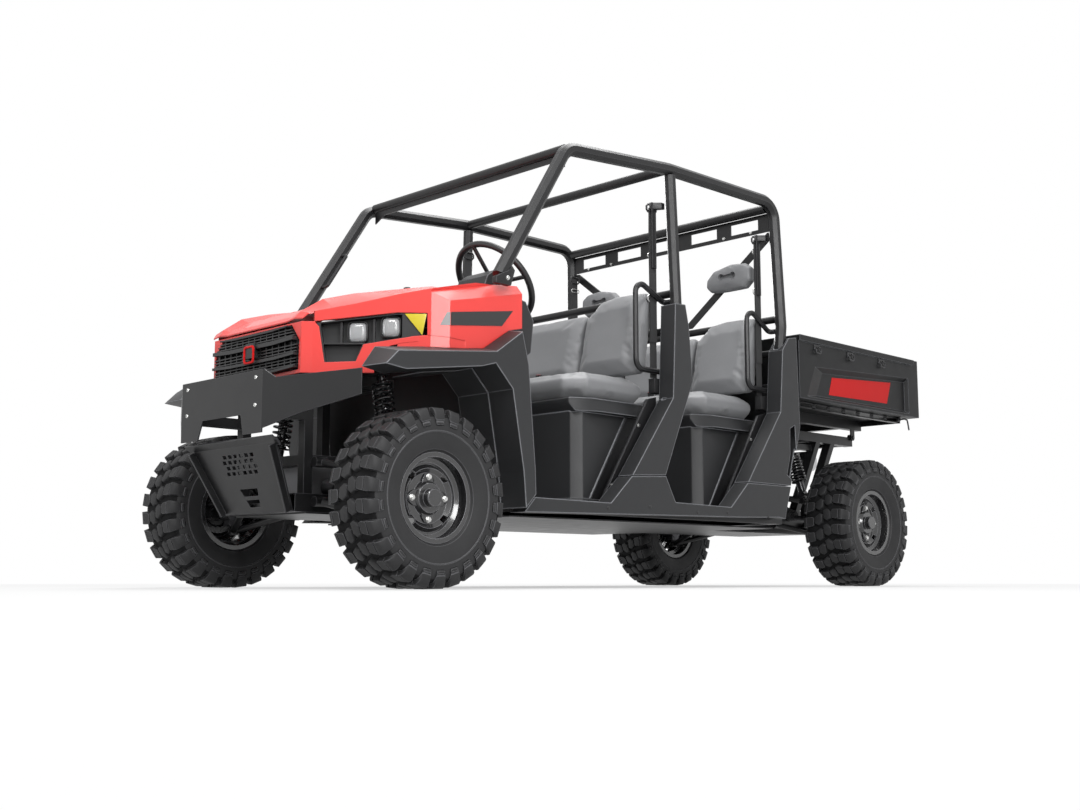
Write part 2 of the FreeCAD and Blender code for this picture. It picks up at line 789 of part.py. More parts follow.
def exhaust():
    """Muffler behind the axle and its pipe from the engine."""
    y = REAR + 360
    z = 715
    can = Part.makeCylinder(58, 320, Vector(-160, y, z), Vector(1, 0, 0))
    pipe = tube([(110, REAR - 175 + S.running_gap, 620), (110, REAR + 120, 620), (110, y - 40, z)], 90, 19)
    hanger = Part.makeBox(40, 20, S.pivot_height - 50 - S.running_gap - z, Vector(-20, y - 10, z))
    feature("exhaust", can.fuse([pipe, hanger]).removeSplitter())


def seat_boxes():
    """Moulded seat bases with a flared pan on top, open below."""
    boxes = []
    for row in range(2):
        front = FRONT + S.seat_front + row * S.seat_row_pitch
        rear = front + S.seat_box_depth
        half = S.seat_box_half
        low = S.floor_height + S.floor_sheet
        wall = S.panel_wall
        shell = box("seat_shell", (-half, front, low), (half, rear, S.seat_box_top))
        pan = box("seat_pan", (-half - 20, front - 22, S.seat_box_top - 1),
                  (half + 20, rear, S.seat_box_top + S.seat_pan_thick - S.running_gap))
        core = box("seat_core", (-half + wall, front + wall, low - 1),
                   (half - wall, rear - wall, S.seat_box_top + S.seat_pan_thick - wall))
        boxes.append(cut("seat_base", fuse("seat_base_outer", [shell, pan]), core))
    return group("seat_bases", boxes)


def cushions():
    """Bench cushion and three backrests of each row."""
    low = S.seat_box_top + S.seat_pan_thick
    seats = []
    backs = []
    for row, name in ((0, "front"), (1, "rear")):
        front = FRONT + S.seat_front + row * S.seat_row_pitch - 28
        depth = S.seat_box_depth - 20
        half = S.cushion_half
        body = new_body(name + "_cushion_body")
        plan = [(-half, front + 75), (-half + 95, front), (half - 95, front), (half, front + 75),
                (half, front + depth), (-half, front + depth)]
        pad(body, draw(body, "XY_Plane", [plan], low), "Sizes.cushion_thick")
        seats.append(body)
        base = low + S.cushion_thick + 12
        face = front + depth - 118
        for x0, x1, top, lift in ((245, 622, 1345, 0), (-240, 240, 1285, 18), (-622, -245, 1345, 0)):
            side = [(face + lift, base), (face + 95 + lift * 0.5, top - 30), (face + 108 + lift * 0.5, top),
                    (face + 95 + S.backrest_thick, top), (face + S.backrest_thick + 12, base)]
            rest = new_body(name + "_backrest_body")
            pad(rest, draw(rest, "YZ_Plane", [side], x0), x1 - x0)
            backs.append(rest)
    group("seat_cushions", seats)
    group("seat_backs", backs + [headrest(), mirrored(headrest())])


def headrest():
    """A pad carried by the rear cross bar of the cage."""
    x = 440
    top = S.roof_height - S.headrest_drop
    block = box("headrest_block", (x - 145, FRONT + 2205, top - 150), (x + 145, FRONT + 2275, top))
    soft = doc.addObject("Part::Fillet", "headrest_pad")
    soft.Base = block
    soft.Edges = [(i, 28.0, 28.0) for i in range(1, 13)]
    return soft


def side_panels():
    """Sill, pillar covers and flares, moulded trays with returned edges."""
    half = S.panel_half
    wall = S.panel_wall
    depth = S.panel_depth
    b_cover = cab([(1416, 1265), (1487, 1269), (1510, 1170), (1533, 921), (1333, 487),
                   (1112, 474), (1393, 834), (1410, 1136)])
    b_body = tray("b_cover", b_cover, half, depth, wall)
    c_cover = cab([(2302, 1222), (2369, 1233), (2384, 786), (2290, 489), (1942, 489), (2220, 846),
                   (2249, 1157)])
    c_body = tray("c_cover", c_cover, half, depth, wall)
    sill = cab([(470, 296), (530, 356), (975, 352), (1109, 470), (1335, 483), (1394, 380), (1400, 372),
                (1805, 366), (1940, 485), (2290, 485), (2236, 325), (2184, 331), (1900, 322)])
    s_body = tray("sill", sill, half, depth, wall)
    sides = []
    for name, panel, tubes in (("b", b_body, middle_post(S.cage_tube)), ("c", c_body, hoop(S.cage_tube + 2)),
                               ("s", s_body, middle_post(S.cage_tube).fuse(hoop(S.cage_tube + 2)))):
        core = doc.addObject("Part::Feature", name + "_post_space")
        core.Shape = tubes
        sides.append(cut(name + "_panel", panel, core))
    pocket_run = cab([(2262, 540), (2292, 640), (2296, 770), (2338, 790), (2352, 560), (2318, 510)])
    tool = doc.addObject("Part::Feature", "intake_space")
    tool.Shape = Part.Face(Part.makePolygon([Vector(half - wall - 8, q[0], q[1]) for q in pocket_run + pocket_run[:1]])
                           ).extrude(Vector(wall + 9, 0, 0))
    sides[1] = cut("c_panel_intake", sides[1], tool)
    group("side_panels", sides + [mirrored(b) for b in sides])
    flare = cab([(-245, 795), (-187, 850), (296, 905), (433, 1000), (467, 872), (505, 454), (508, 365),
                 (454, 310), (441, 450), (381, 767), (290, 858), (221, 838), (-150, 785)])
    slope = cab([(-245, 800), (-187, 880), (296, 940), (433, 1025), (467, 880), (505, 454), (508, 365),
                 (454, 310), (441, 450), (381, 767), (290, 858), (221, 838), (-150, 785)])
    root = S.fender_half - S.flare_tuck
    body = tray("flare", flare, S.flare_half, S.flare_half - root, wall, slope)
    pair("front_flares", body)
    well = cab([(40, 812.1), (221, 838), (290, 858), (381, 767), (441, 450), (454, 310)])
    liner = new_body("well_liner")
    pad(liner, draw(liner, "YZ_Plane", [strip(well, -3)], S.well_inner), root - S.running_gap - S.well_inner)
    pair("wheel_wells", liner)


def fascia(x, z, inward=0.0):
    """A point on the slanted face beside the grille, moved inward from it."""
    turn = inward / math.sqrt(2)
    return Vector(x - turn, FRONT + x - 586 + turn, z)


def fascia_prism(outline, near, far):
    """A front-view outline on the slanted face, extruded inward between two depths."""
    points = [fascia(p[0], p[1], near) for p in outline]
    way = fascia(0, 0, far) - fascia(0, 0, near)
    return Part.Face(Part.makePolygon(points + points[:1])).extrude(way)


def fender_solid(lower, shrink):
    """Red front quarter: a plan outline topped by a crown that falls outward and forward."""
    f = S.fender_half - shrink
    s = S.split_half - shrink * 15
    plan = [(336 - shrink * 15, FRONT - 250 + shrink), (650 - shrink, FRONT + 64 + shrink), (f - 2, FRONT + 125),
            (f, FRONT + 505 - shrink), (s, FRONT + 505 - shrink), (s, FRONT + 30)]
    base = 890 - lower
    plan_face = Part.Face(Part.makePolygon([Vector(p[0], p[1], base) for p in plan + [plan[0]]]))
    block = plan_face.extrude(Vector(0, 0, 500))
    crown = cab([(-300, base - 1), (-300, 1032 - shrink), (-135, 1075 - shrink), (-20, 1112 - shrink),
                 (285, 1190 - shrink), (520, 1212 - shrink), (520, base - 1)])
    side_face = Part.Face(Part.makePolygon([Vector(200, p[0], p[1]) for p in crown + [crown[0]]]))
    side = side_face.extrude(Vector(600, 0, 0))
    bevel = 46
    chamfer = [Vector(f - bevel + 1, FRONT + 60, 1124 - shrink), Vector(f + 1, FRONT + 60, 1070 - shrink),
               Vector(f + 60, FRONT + 60, 1070 - shrink), Vector(f + 60, FRONT + 60, 1300)]
    top = [p + Vector(0, 470, 108) for p in chamfer]
    wedge = Part.makeLoft([Part.makePolygon(chamfer + chamfer[:1]), Part.makePolygon(top + top[:1])], True, True)
    return block.common(side).cut(wedge)


def lamp_opening():
    """Front-view outline of the recess between the crown of the fender and the red chin."""
    return [(350, 986), (366, 848), (450, 852), (470, 917), (541, 934), (600, 947), (640, 952), (640, 1037),
            (561, 1040), (336, 1004)]


def flare_space():
    """Room over the flare, whose top slopes outward, so that the fender's edge stands on it."""
    gap = S.running_gap
    edges = []
    for x, ends in ((S.flare_half, (843.5, 905, 1000)), (S.fender_half - S.flare_tuck, (877.5, 940, 1025))):
        top = [(520, 1034.8), (433, ends[2] + gap), (296, ends[1] + gap), (-210, ends[0] + gap)]
        run = cab([(-210, 790), (520, 790)] + top)
        edges.append(Part.makePolygon([Vector(x, p[0], p[1]) for p in run + run[:1]]))
    return Part.makeLoft(edges, True, True)


def fenders():
    outer = fender_solid(0, 0)
    inner = fender_solid(10, S.panel_wall)
    window = fascia_prism([(250, 800), (780, 800), (780, 938), (640, 952), (640, 1037), (561, 1040),
                           (336, 1006), (250, 1006)], -90, 70)
    shape = outer.cut([inner, flare_space(), window])
    feature("front_fenders", both(shape.removeSplitter()))


def hood():
    """Lid between the fenders, with two raised lines and a turned front lip."""
    body = new_body("hood_body")
    gap = S.hood_gap
    wide = S.split_half - gap
    lip = NOSE + S.nose_setback
    stations = [(lip - 2, 262, 312, 1018, 1024, 1018), (lip + 16, 272, 326, 1036, 1050, 1038),
                (FRONT - 175, 285, 364, 1088, 1111, 1064), (FRONT - 35, 296, 430, 1130, 1153, 1108),
                (FRONT + 30, 300, wide, 1145, 1168, 1124), (FRONT + 345, 320, wide, 1212, 1239, 1198)]
    skins = []
    t = S.hood_sheet
    for y, ridge, edge, z_mid, z_ridge, z_edge in stations:
        top = [(-edge, z_edge), (-ridge, z_ridge), (-ridge + 55, z_mid), (ridge - 55, z_mid),
               (ridge, z_ridge), (edge, z_edge)]
        low = [(p[0], p[1] - t * 1.3) for p in top]
        skins.append(draw(body, "XZ_Plane", [top + low[::-1]], -y))
    loft(body, skins)
    slots = []
    for side in (-1, 1):
        for i in range(4):
            y = FRONT - 190 + 68 * i
            near, far = side * 92, side * (206 + 8 * i)
            slots.append([(near, y), (far, y + 34), (far, y + 62), (near, y + 28)])
    pocket(body, draw(body, "XY_Plane", slots, 1260))
    axis_y, axis_z = hood_axis()
    ears = []
    for side in (-1, 1):
        x = side * 230
        plate = box("hood_ear", (x - 12, axis_y - 30, axis_z - 9), (x + 12, axis_y, axis_z + 4))
        barrel = cylinder("hood_barrel", (x - 12, axis_y, axis_z), (1, 0, 0), 9, 24)
        ears += [plate, barrel]
    bores = [cylinder("hood_bore", (side * 230 - 13, axis_y, axis_z), (1, 0, 0), 5 + S.spindle_gap, 26)
             for side in (-1, 1)]
    solid = fuse("hood_fuse", [body] + ears)
    return finish(cut("hood_cut", solid, fuse("hood_bores", bores)), "hood")


def hood_axis():
    """The line that the hood opens about, behind its rear edge."""
    return FRONT + 358, 1203


def nose_run():
    """Plan of the nose on the left: flat across the grille, a folded corner, then the fascia."""
    y = NOSE + S.nose_setback
    half = S.nose_half
    return [(0, y), (half, y), (333, FRONT - 253), (616, FRONT + 30)]


def grille_outline(grow=0.0):
    return [(-290 - grow, 822 - grow), (290 + grow, 822 - grow), (294 + grow, 936), (243 + grow, 999 + grow),
            (-243 - grow, 999 + grow), (-294 - grow, 936)]


def nose():
    """Red surround of the grille that sweeps back under the lamps as a chin."""
    body = new_body("nose_body")
    half_run = nose_run()
    run = [(-p[0], p[1]) for p in half_run[:0:-1]] + half_run
    pad(body, draw(body, "XY_Plane", [strip(run, S.nose_wall)], 808), 197.7)
    front_cut(body, grille_outline(), NOSE + 200, 300)
    opening = fascia_prism(lamp_opening()[:7] + [(640, 1037), (640, 1060), (340, 1060), (340, 1000)], -60, 30)
    below = fascia_prism([(499, 790), (499, 851), (541, 911), (572, 921), (660, 934), (660, 790)], -60, 30)
    tool = doc.addObject("Part::Feature", "nose_openings")
    tool.Shape = both(opening.fuse(below))
    return finish(cut("nose_cut", body, tool), "nose_panel")


def grille():
    """Slatted insert: three rows of ribs between two framed bars and a bare badge block."""
    back = NOSE + S.nose_setback + S.nose_wall + S.running_gap
    front = back - 22
    body = new_body("grille_body")
    outline = grille_outline(6)
    pad(body, draw(body, "XZ_Plane", [outline], -(back + 4)), 4)
    pieces = [body]
    for low, high, half, forward in ((930, 950, 280, 8), (872, 888, 285, 6), (824, 838, 284, 4), (984, 996, 236, 4)):
        bar = new_body("grille_bar")
        shape = [(-half, low + 6), (-half * 0.55, low), (half * 0.55, low), (half, low + 6), (half, high),
                 (half * 0.5, high - 4), (-half * 0.5, high - 4), (-half, high)]
        pad(bar, draw(bar, "XZ_Plane", [shape], -(back + 1)), back + 1 - (front - forward))
        pieces.append(bar)
    for z, half in ((842, 282), (854, 282), (866, 283), (894, 285), (906, 286), (918, 286), (956, 272),
                    (968, 262), (979, 250)):
        pieces.append(box("grille_slat", (-half, front + 6, z - 2.5), (half, back + 1, z + 2.5)))
    for i in range(-6, 7):
        x = 42 * i
        top = 996 if abs(x) < 240 else 950
        pieces.append(box("grille_rib", (x - 3, front + 8, 826), (x + 3, back + 1, top)))
    badge = box("badge_block", (-30, front - 16, 894), (30, back + 1, 954))
    soft = doc.addObject("Part::Chamfer", "badge_edges")
    soft.Base = badge
    soft.Edges = [(i, 4.0, 4.0) for i in (1, 3, 5, 7)]
    pieces.append(soft)
    return finish(fuse("grille_bars", pieces), "grille")


def headlights():
    """Recessed lamp trays behind the nose with dividers, two lenses and a corner marker a side."""
    rim = 7
    near = S.nose_wall + S.running_gap
    deep = S.lamp_depth
    opening = lamp_opening()
    outline = [(350 - rim, 998), (366 - rim, 848 - rim), (450 + rim, 852 - rim), (470 + rim, 917 - rim),
               (541, 934 - rim), (600, 947 - rim), (628, 952 - rim), (628, 1034), (561, 1037), (343, 1002)]
    room = [(354, 984), (369, 851), (447, 855), (467, 920), (541, 937), (574, 945), (574, 1031), (561, 1033),
            (354, 999)]
    block = fascia_prism(outline, near, deep + 40)
    hollow = fascia_prism(room, near - 1, deep)
    shelf = fascia_prism([(352, 920), (470, 920), (470, 926), (352, 926)], near + 12, deep + 1)
    walls = [fascia_prism([(x, 926), (x + 6, 926), (x + 6, z), (x, z)], near + reach, deep + 1)
             for x, z, reach in ((405, 1006, 16), (492, 1020, 22), (572, 1030, 1))]
    tray_solid = block.cut(hollow).fuse([shelf] + walls).removeSplitter()
    lamps = []
    for x, z in ((452, 968), (541, 968 + S.lamp_pair_rise)):
        half_x, half_z = 23, 35
        outline = [(x - half_x, z - half_z + 10), (x - half_x + 8, z - half_z), (x + half_x - 8, z - half_z),
                   (x + half_x, z - half_z + 10), (x + half_x, z + half_z - 12), (x + half_x - 8, z + half_z - 3),
                   (x - half_x + 8, z + half_z - 3), (x - half_x, z + half_z - 12)]
        lamps.append(fascia_prism(outline, deep - 30, deep - S.running_gap))
    marker = fascia_prism([(580, 1032), (622, 1031), (612, 958)], 0, S.nose_wall)
    feature("headlight_housings", both(tray_solid))
    feature("headlight_lenses", both(Part.makeCompound(lamps + [marker])))


def bumper():
    """Folded plate across the nose with wings back to the flares."""
    body = new_body("bumper_body")
    t = S.bumper_sheet
    half_run = [(0, NOSE), (284, NOSE), (629.5, FRONT - 243)]
    run = [(-p[0], p[1]) for p in half_run[:0:-1]] + half_run
    pad(body, draw(body, "XY_Plane", [strip(run, t)], 572), 236)
    for side in (-1, 1):
        taper = [(side * 284, 560), (side * 700, 560), (side * 700, 720), (side * 420, 640), (side * 284, 588)]
        front_cut(body, taper, FRONT + 100, 900)
        top = [(side * 290, 815), (side * 290, 806), (side * 330, 776), (side * 700, 800), (side * 700, 815)]
        front_cut(body, top, FRONT + 100, 900)
    notch = [(-166, 560), (166, 560), (143, 648), (-127, 648)]
    holes = []
    for sx in (-1, 1):
        for sz in (-1, 1):
            holes.append((sx * S.bumper_bolt_x / 2, 729 + sz * S.bumper_bolt_z / 2, S.bumper_bolt_hole))
    front_cut(body, notch, FRONT, 900)
    for hole in holes:
        front_cut(body, hole, FRONT, 900)
    return finish(body, "front_bumper")


def bash_plate():
    """Sloping plate from the bumper to the belly with perforations, slots and turned side rails."""
    body = new_body("bash_body")
    low_y, low_z = FRONT - 255.5, 292
    high_y, high_z = NOSE + 60, 540
    run = [(NOSE + 30, 560), (high_y, high_z), (low_y, low_z)]
    pad(body, draw(body, "YZ_Plane", [strip(run, 6)]), 620, middle=True)
    for side in (-1, 1):
        front_cut(body, [(side * 290, 530), (side * 226, 280), (side * 340, 280), (side * 340, 530)], FRONT, 600)
    holes = []
    for row in range(4):
        for column in range(6):
            x = -96 + 38 * column + (14 if row % 2 else 0)
            z = 444 + 21 * row
            holes.append([(x - 12, z - 7), (x + 12, z - 7), (x + 12, z + 7), (x - 12, z + 7)])
    holes.append([(-62, 384), (62, 384), (50, 356), (-50, 356)])
    holes.append([(-46, 342), (46, 342), (36, 314), (-36, 314)])
    front_cut_all(body, holes, FRONT, 600)
    rails = []
    across = Vector(0, low_z - high_z, high_y - low_y).normalize()
    for side in (-1, 1):
        top = Vector(side * 288, high_y, high_z - 3)
        foot = Vector(side * 230, low_y - 1, low_z + 3)
        width = Vector(-side * 8, 0, 0)
        base = [top, top + width, foot + width, foot]
        rail = Part.Face(Part.makePolygon(base + base[:1])).extrude(across * 26)
        obj = doc.addObject("Part::Feature", "bash_rail")
        obj.Shape = rail
        rails.append(obj)
    return fuse("bash_fuse", [body] + rails)


def dash():
    """Dashboard shell with the instrument pod in front of the wheel."""
    outline = cab([(521, 1185), (610, 1170), (655, 1095), (640, 960), (600, 930), (521, 930)])
    body = new_body("dash_body")
    pad(body, draw(body, "YZ_Plane", [outline]), "2 * Sizes.cab_half", middle=True)
    core = cab([(527, 1179), (606, 1164), (649, 1095), (634, 963), (600, 920), (527, 920)])
    pocket(body, draw(body, "YZ_Plane", [core]), "2 * Sizes.cab_half - 12", middle=True)
    pod = cab([(521, 1180), (521, 1240), (545, 1300), (590, 1330), (625, 1300), (610, 1165)])
    pad(body, draw(body, "YZ_Plane", [pod], 265), 180)
    axis, hub = column_line()
    hole = cylinder("column_hole", hub - axis * 300, axis, 32 + S.running_gap, 290)
    half = S.split_half - 6
    axis_y, axis_z = hood_axis()
    cowl = box("cowl", (-half, FRONT + 385, 1186), (half, FRONT + 522, 1192))
    lip = box("cowl_lip", (-half, FRONT + 385, 1150), (half, FRONT + 391, 1187))
    pieces = [body, cowl, lip]
    for side in (-1, 1):
        x = side * 230 + 13.5 + 10
        pieces.append(box("cowl_ear", (x - 10, axis_y - 4, 1187), (x + 10, FRONT + 390, axis_z)))
        pieces.append(cylinder("cowl_barrel", (x - 10, axis_y, axis_z), (1, 0, 0), 9, 20))
        pieces.append(cylinder("cowl_pin", (side * 230 - 12, axis_y, axis_z), (1, 0, 0), 5, 30))
    return finish(cut("dash_cut", fuse("dash_fuse", pieces), hole), "dashboard")


def column_line():
    """Direction of the steering column and the centre of its wheel."""
    tilt = math.radians(S.column_tilt)
    return Vector(0, math.cos(tilt), math.sin(tilt)), Vector(355, FRONT + 670, 1300)


def steering():
    """Column through the dash and the steering wheel on its end."""
    axis, hub = column_line()
    outer = Part.makeCylinder(32, 170, hub - axis * 200, axis)
    bore = Part.makeCylinder(S.column_radius + 0.05, 400, hub - axis * 300, axis)
    column = outer.cut(bore)
    pedals = []
    for x, width in ((300, 62), (410, 46)):
        plate = Part.makeBox(width, 10, 80, Vector(x - width / 2, FRONT + 605, 470))
        top = Vector(x, FRONT + 530, 700)
        low = Vector(x, FRONT + 610, 520)
        pedals.append(plate.fuse(Part.makeCylinder(8, (low - top).Length, top, low - top)))
    root = Vector(120, FRONT + 651.35, 1010)
    lever = Part.makeCylinder(8, 130, root, Vector(0, 0.8, 0.6))
    knob = Part.makeSphere(21, root + Vector(0, 104, 78))
    feature("driver_controls", Part.makeCompound([column, lever.fuse(knob)] + pedals))
    ring = Part.makeTorus(S.wheel_rim_radius, S.wheel_grip, hub, axis)
    core = Part.makeCylinder(36, 30, hub - axis * 22, axis)
    shaft = Part.makeCylinder(S.column_radius, 178, hub - axis * 200, axis)
    spokes = []
    across = Vector(1, 0, 0)
    other = axis.cross(across)
    for turn in (0, 180, 270):
        a = math.radians(turn)
        way = across * math.cos(a) + other * math.sin(a)
        spokes.append(Part.makeCylinder(9, S.wheel_rim_radius, hub - axis * 8, way))
    feature("steering_wheel", ring.fuse([core, shaft] + spokes).removeSplitter())


# Cage


def hoop(radius):
    """One bent side hoop from the fender over the roof and down to the rocker."""
    top = S.roof_height
    foot = S.rail_floor + 15 + S.rocker_height + S.running_gap
    run = [(687.7, FRONT + 380, 1230), (678, FRONT + 778, top - S.windscreen_drop), (688, FRONT + 1444, top - 6),
           (696, FRONT + 2265, top), (712, FRONT + 2285, 1280), (S.rocker_half, FRONT + 2290, 500),
           (S.rocker_half, FRONT + 2290, foot)]
    return tube(run, S.cage_bend, radius, 8)


def middle_post(radius):
    """One post from the roof rail down to the rocker behind the front seats."""
    top = S.roof_height - 6 - S.cage_tube - 2.6
    foot = S.rail_floor + 15 + S.rocker_height + S.running_gap
    run = [(690, FRONT + 1455, top), (712, FRONT + 1460, 1270), (704, FRONT + 1450, 900),
           (S.rocker_half, FRONT + 1275, 480), (S.rocker_half, FRONT + 1275, foot)]
    return tube(run, 60, radius, 8)


def cage():
    """Bent side hoops, inner posts and cross bars."""
    r = S.cage_tube
    top = S.roof_height
    frames = Part.makeCompound([hoop(r), middle_post(r - 2)])
    feature("cage_side_frames", both(frames))
    bars = []
    seat_bar = S.cross_tube - 4
    rows = [(FRONT + 800, top - 55, 678, S.cross_tube), (FRONT + 1444, top - 6, 688, S.cross_tube),
            (FRONT + 2238, top - 28, 696, S.cross_tube), (FRONT + 1469.2, 1327, 710.8, seat_bar),
            (FRONT + 1440.5, 1150, 711, seat_bar), (FRONT + 2304.2, 1327, 710.2, seat_bar),
            (FRONT + 2275.5, 1150, 696.5, seat_bar)]
    for y, z, x, radius in rows:
        half = x - r - S.running_gap
        bar = doc.addObject("Part::Cylinder", "cage_bar")
        bar.Radius = radius
        bar.Height = 2 * half
        bar.Placement = Placement(Vector(-half, y, z), Rotation(Vector(0, 0, 1), Vector(1, 0, 0)))
        bars.append(bar)
    edge_z = top - S.rear_plate_drop
    foot_z = edge_z - S.rear_plate_height
    half = 696 - r - S.running_gap + 1
    plate = box("rear_plate", (-half, FRONT + 2262, foot_z), (half, FRONT + 2268, edge_z))
    windows = [box("plate_window", (x - 85, FRONT + 2260, foot_z + 20), (x + 85, FRONT + 2270, edge_z - 20))
               for x in (-520, -260, 0, 260, 520)]
    bars.append(cut("rear_plate_cut", plate, fuse("plate_windows", windows)))
    header = new_body("header_body")
    edge = 678 - r - S.running_gap - 3
    rim = top - S.header_drop
    outline = [(-edge, rim - 68), (-edge + 70, rim - 34), (edge - 70, rim - 34), (edge, rim - 68),
               (edge, rim), (-edge, rim)]
    pad(header, draw(header, "XZ_Plane", [outline], -(FRONT + 800)), 6, middle=True)
    bars[0] = fuse("front_header", [bars[0], header])
    bars.append(grab_handle())
    brace = new_body("brace_body")
    y = FRONT + 2275.3
    outline = [(100, 1346), (160, 1346), (672.2, foot_z - 32), (672.2, foot_z - 1), (650, foot_z - 1)]
    pad(brace, draw(brace, "XZ_Plane", [outline], -y), 9, back=True)
    bars += [brace, mirrored(brace)]
    group("cage_cross_members", bars)


def grab_handle():
    """Passenger's handle on the inner side of the far front post."""
    rise = S.roof_height - S.windscreen_drop - 1230
    lean = Vector(0, 398, rise).normalize()
    low = Vector(-657.1, FRONT + 498, 1230 + rise * 183 / 618)
    high = low + lean * 205 + Vector(2.8, 0, 0)
    out = Vector(34, 0, 0)
    path = [tuple(low), tuple(low + out), tuple(high + out), tuple(high)]
    obj = doc.addObject("Part::Feature", "grab_handle")
    obj.Shape = tube(path, 14, 8, 8)
    return obj


def hip_bars():
    """Guard loops beside the seats."""
    loops = []
    front_x = 641
    rear_x = front_x - 0.2
    y = FRONT + 1262
    loops.append(tube([(679.9, FRONT + 1452, 965), (front_x, FRONT + 1452, 965), (front_x, y, 965),
                       (front_x, y, 1375), (front_x, FRONT + 1459, 1287), (685.9, FRONT + 1459, 1287)],
                      [20, 45, 45, 20], 12, 8))
    y += S.seat_row_pitch
    loops.append(tube([(rear_x, FRONT + 2300, 965), (rear_x, y, 965), (rear_x, y, 1375),
                       (rear_x, FRONT + 2284, 1262), (681, FRONT + 2284, 1262)], [45, 45, 20], 12, 8))
    feature("hip_bars", both(Part.makeCompound(loops)))


# Cargo bed


def seat_belts():
    """Webbing from the post guides to the reels, and buckles between the seats."""
    straps = []
    for behind, post_face, post_line in ((1399, 669.7, 1441), (2212, 672.4, 2270)):
        y = FRONT + behind
        top = S.roof_height - S.guide_drop
        web = Part.makeBox(2, 46, top - 19 - 930, Vector(625, y - 23, 930))
        reel = Part.makeBox(36.3, 60, 70, Vector(624.7, y - 30, 862))
        guide = Part.makeBox(post_face - 624.7, FRONT + post_line - y + 23, 34, Vector(624.7, y - 23, top - 34))
        straps.append(web.fuse([reel, guide]).removeSplitter())
        seat_top = S.seat_box_top + S.seat_pan_thick + S.cushion_thick + S.running_gap
        buckle = Part.makeBox(26, 22, 62, Vector(75, FRONT + behind - 195, seat_top))
        straps.append(buckle)
    feature("seat_belts", both(Part.makeCompound(straps)))


def bed_recesses():
    """Sunk panels in the outer faces of the bed's sides, with sloped edges."""
    half = S.bed_half
    outline = [(-545, 950), (-470, 1108), (470, 1150), (470, 950)]
    inner = [(-425, 964), (-365, 1086), (458, 1128), (458, 964)]
    tools = []
    for side in (-1, 1):
        body = new_body("bed_recess")
        loops = []
        for points, x in ((outline, half + 1), (inner, half - 22)):
            loops.append(draw(body, "YZ_Plane", [[(REAR + p[0], p[1]) for p in points]], side * x))
        loft(body, loops)
        tools.append(body)
    return tools


def bed():
    """Open tray with double walls, and its rails with pivot ears."""
    half = S.bed_half
    z = S.bed_floor_height
    front = TAIL - S.bed_length - S.tailgate_thick
    rear = TAIL - S.tailgate_thick - S.tailgate_gap
    top = z + S.bed_side_height
    wall = S.bed_wall
    outer = box("bed_outer", (-half, front, z), (half, rear, top))
    core = box("bed_core", (-half + wall, front + wall, z + S.bed_floor_sheet), (half - wall, rear + 1, top + 1))
    rims = []
    for side in (-1, 1):
        low = (min(side * half, side * (half + 8)), front, top - 30)
        high = (max(side * half, side * (half + 8)), rear, top)
        rims.append(box("bed_rim", low, high))
    tray_walls = cut("bed_box_cut", fuse("bed_outer_rims", [outer] + rims), fuse("bed_core_all", [core] + bed_recesses()))
    x = S.bed_rail_half
    w = S.bed_rail_width / 2
    pivot = REAR + 395
    rails = []
    for side in (-1, 1):
        rail = box("bed_rail", (side * x - w, front + 40, z - S.bed_rail_height),
                   (side * x + w, rear - 40, z - S.running_gap))
        face = side * (x + w)
        ear = cylinder("bed_ear", (face - side * 8, pivot, S.pivot_height), (side, 0, 0), S.pivot_lug, 8)
        web = box("bed_web", (min(face - side * 8, face), pivot - 18, S.pivot_height),
                  (max(face - side * 8, face), pivot + 18, z - S.bed_rail_height + 1))
        bore = cylinder("bed_bore", (face - side * 9, pivot, S.pivot_height), (side, 0, 0),
                        S.pivot_radius + S.spindle_gap, 10)
        rails.append(cut("bed_rail_cut", fuse("bed_rail_fuse", [rail, ear, web]), bore))
    for y in (front + 60, (front + rear) / 2, rear - 120):
        rails.append(box("bed_cross", (-x, y, z - 40), (x, y + 40, z - S.running_gap)))
    finish(fuse("bed_rails_fuse", rails), "bed_frame")
    hinge_y = TAIL - S.tailgate_thick / 2
    hinge_z = z + 22
    gate = box("gate", (-half + 78, TAIL - S.tailgate_thick, hinge_z - 10), (half - 78, TAIL, top - 4))
    pins = [cylinder("gate_pin", (side * (half - 79), hinge_y, hinge_z), (side, 0, 0), 8, 30) for side in (-1, 1)]
    finish(fuse("gate_fuse", [gate] + pins), "tailgate")
    bores = [cylinder("gate_bore", (side * (half - 71), hinge_y, hinge_z), (side, 0, 0),
                      8 + S.spindle_gap, 30) for side in (-1, 1)]
    posts = []
    lights = []
    for side in (-1, 1):
        low = (min(side * half, side * (half - 70)), rear - 10, z)
        high = (max(side * half, side * (half - 70)), TAIL, top)
        posts.append(box("corner", low, high))
        x = side * (half - 35)
        lights.append(box("lamp", (x - 22, TAIL - 9, z + 100), (x + 22, TAIL + 0.0, z + 250)))
    recess = [box("lamp_recess", (side * (half - 35) - 22.3, TAIL - 9.3, z + 99.7),
                  (side * (half - 35) + 22.3, TAIL + 1, z + 250.3)) for side in (-1, 1)]
    solid = fuse("bed_fuse", [tray_walls] + posts)
    finish(cut("bed_final", solid, fuse("bed_tools", recess + bores)), "cargo_bed")
    group("tail_lights", lights)


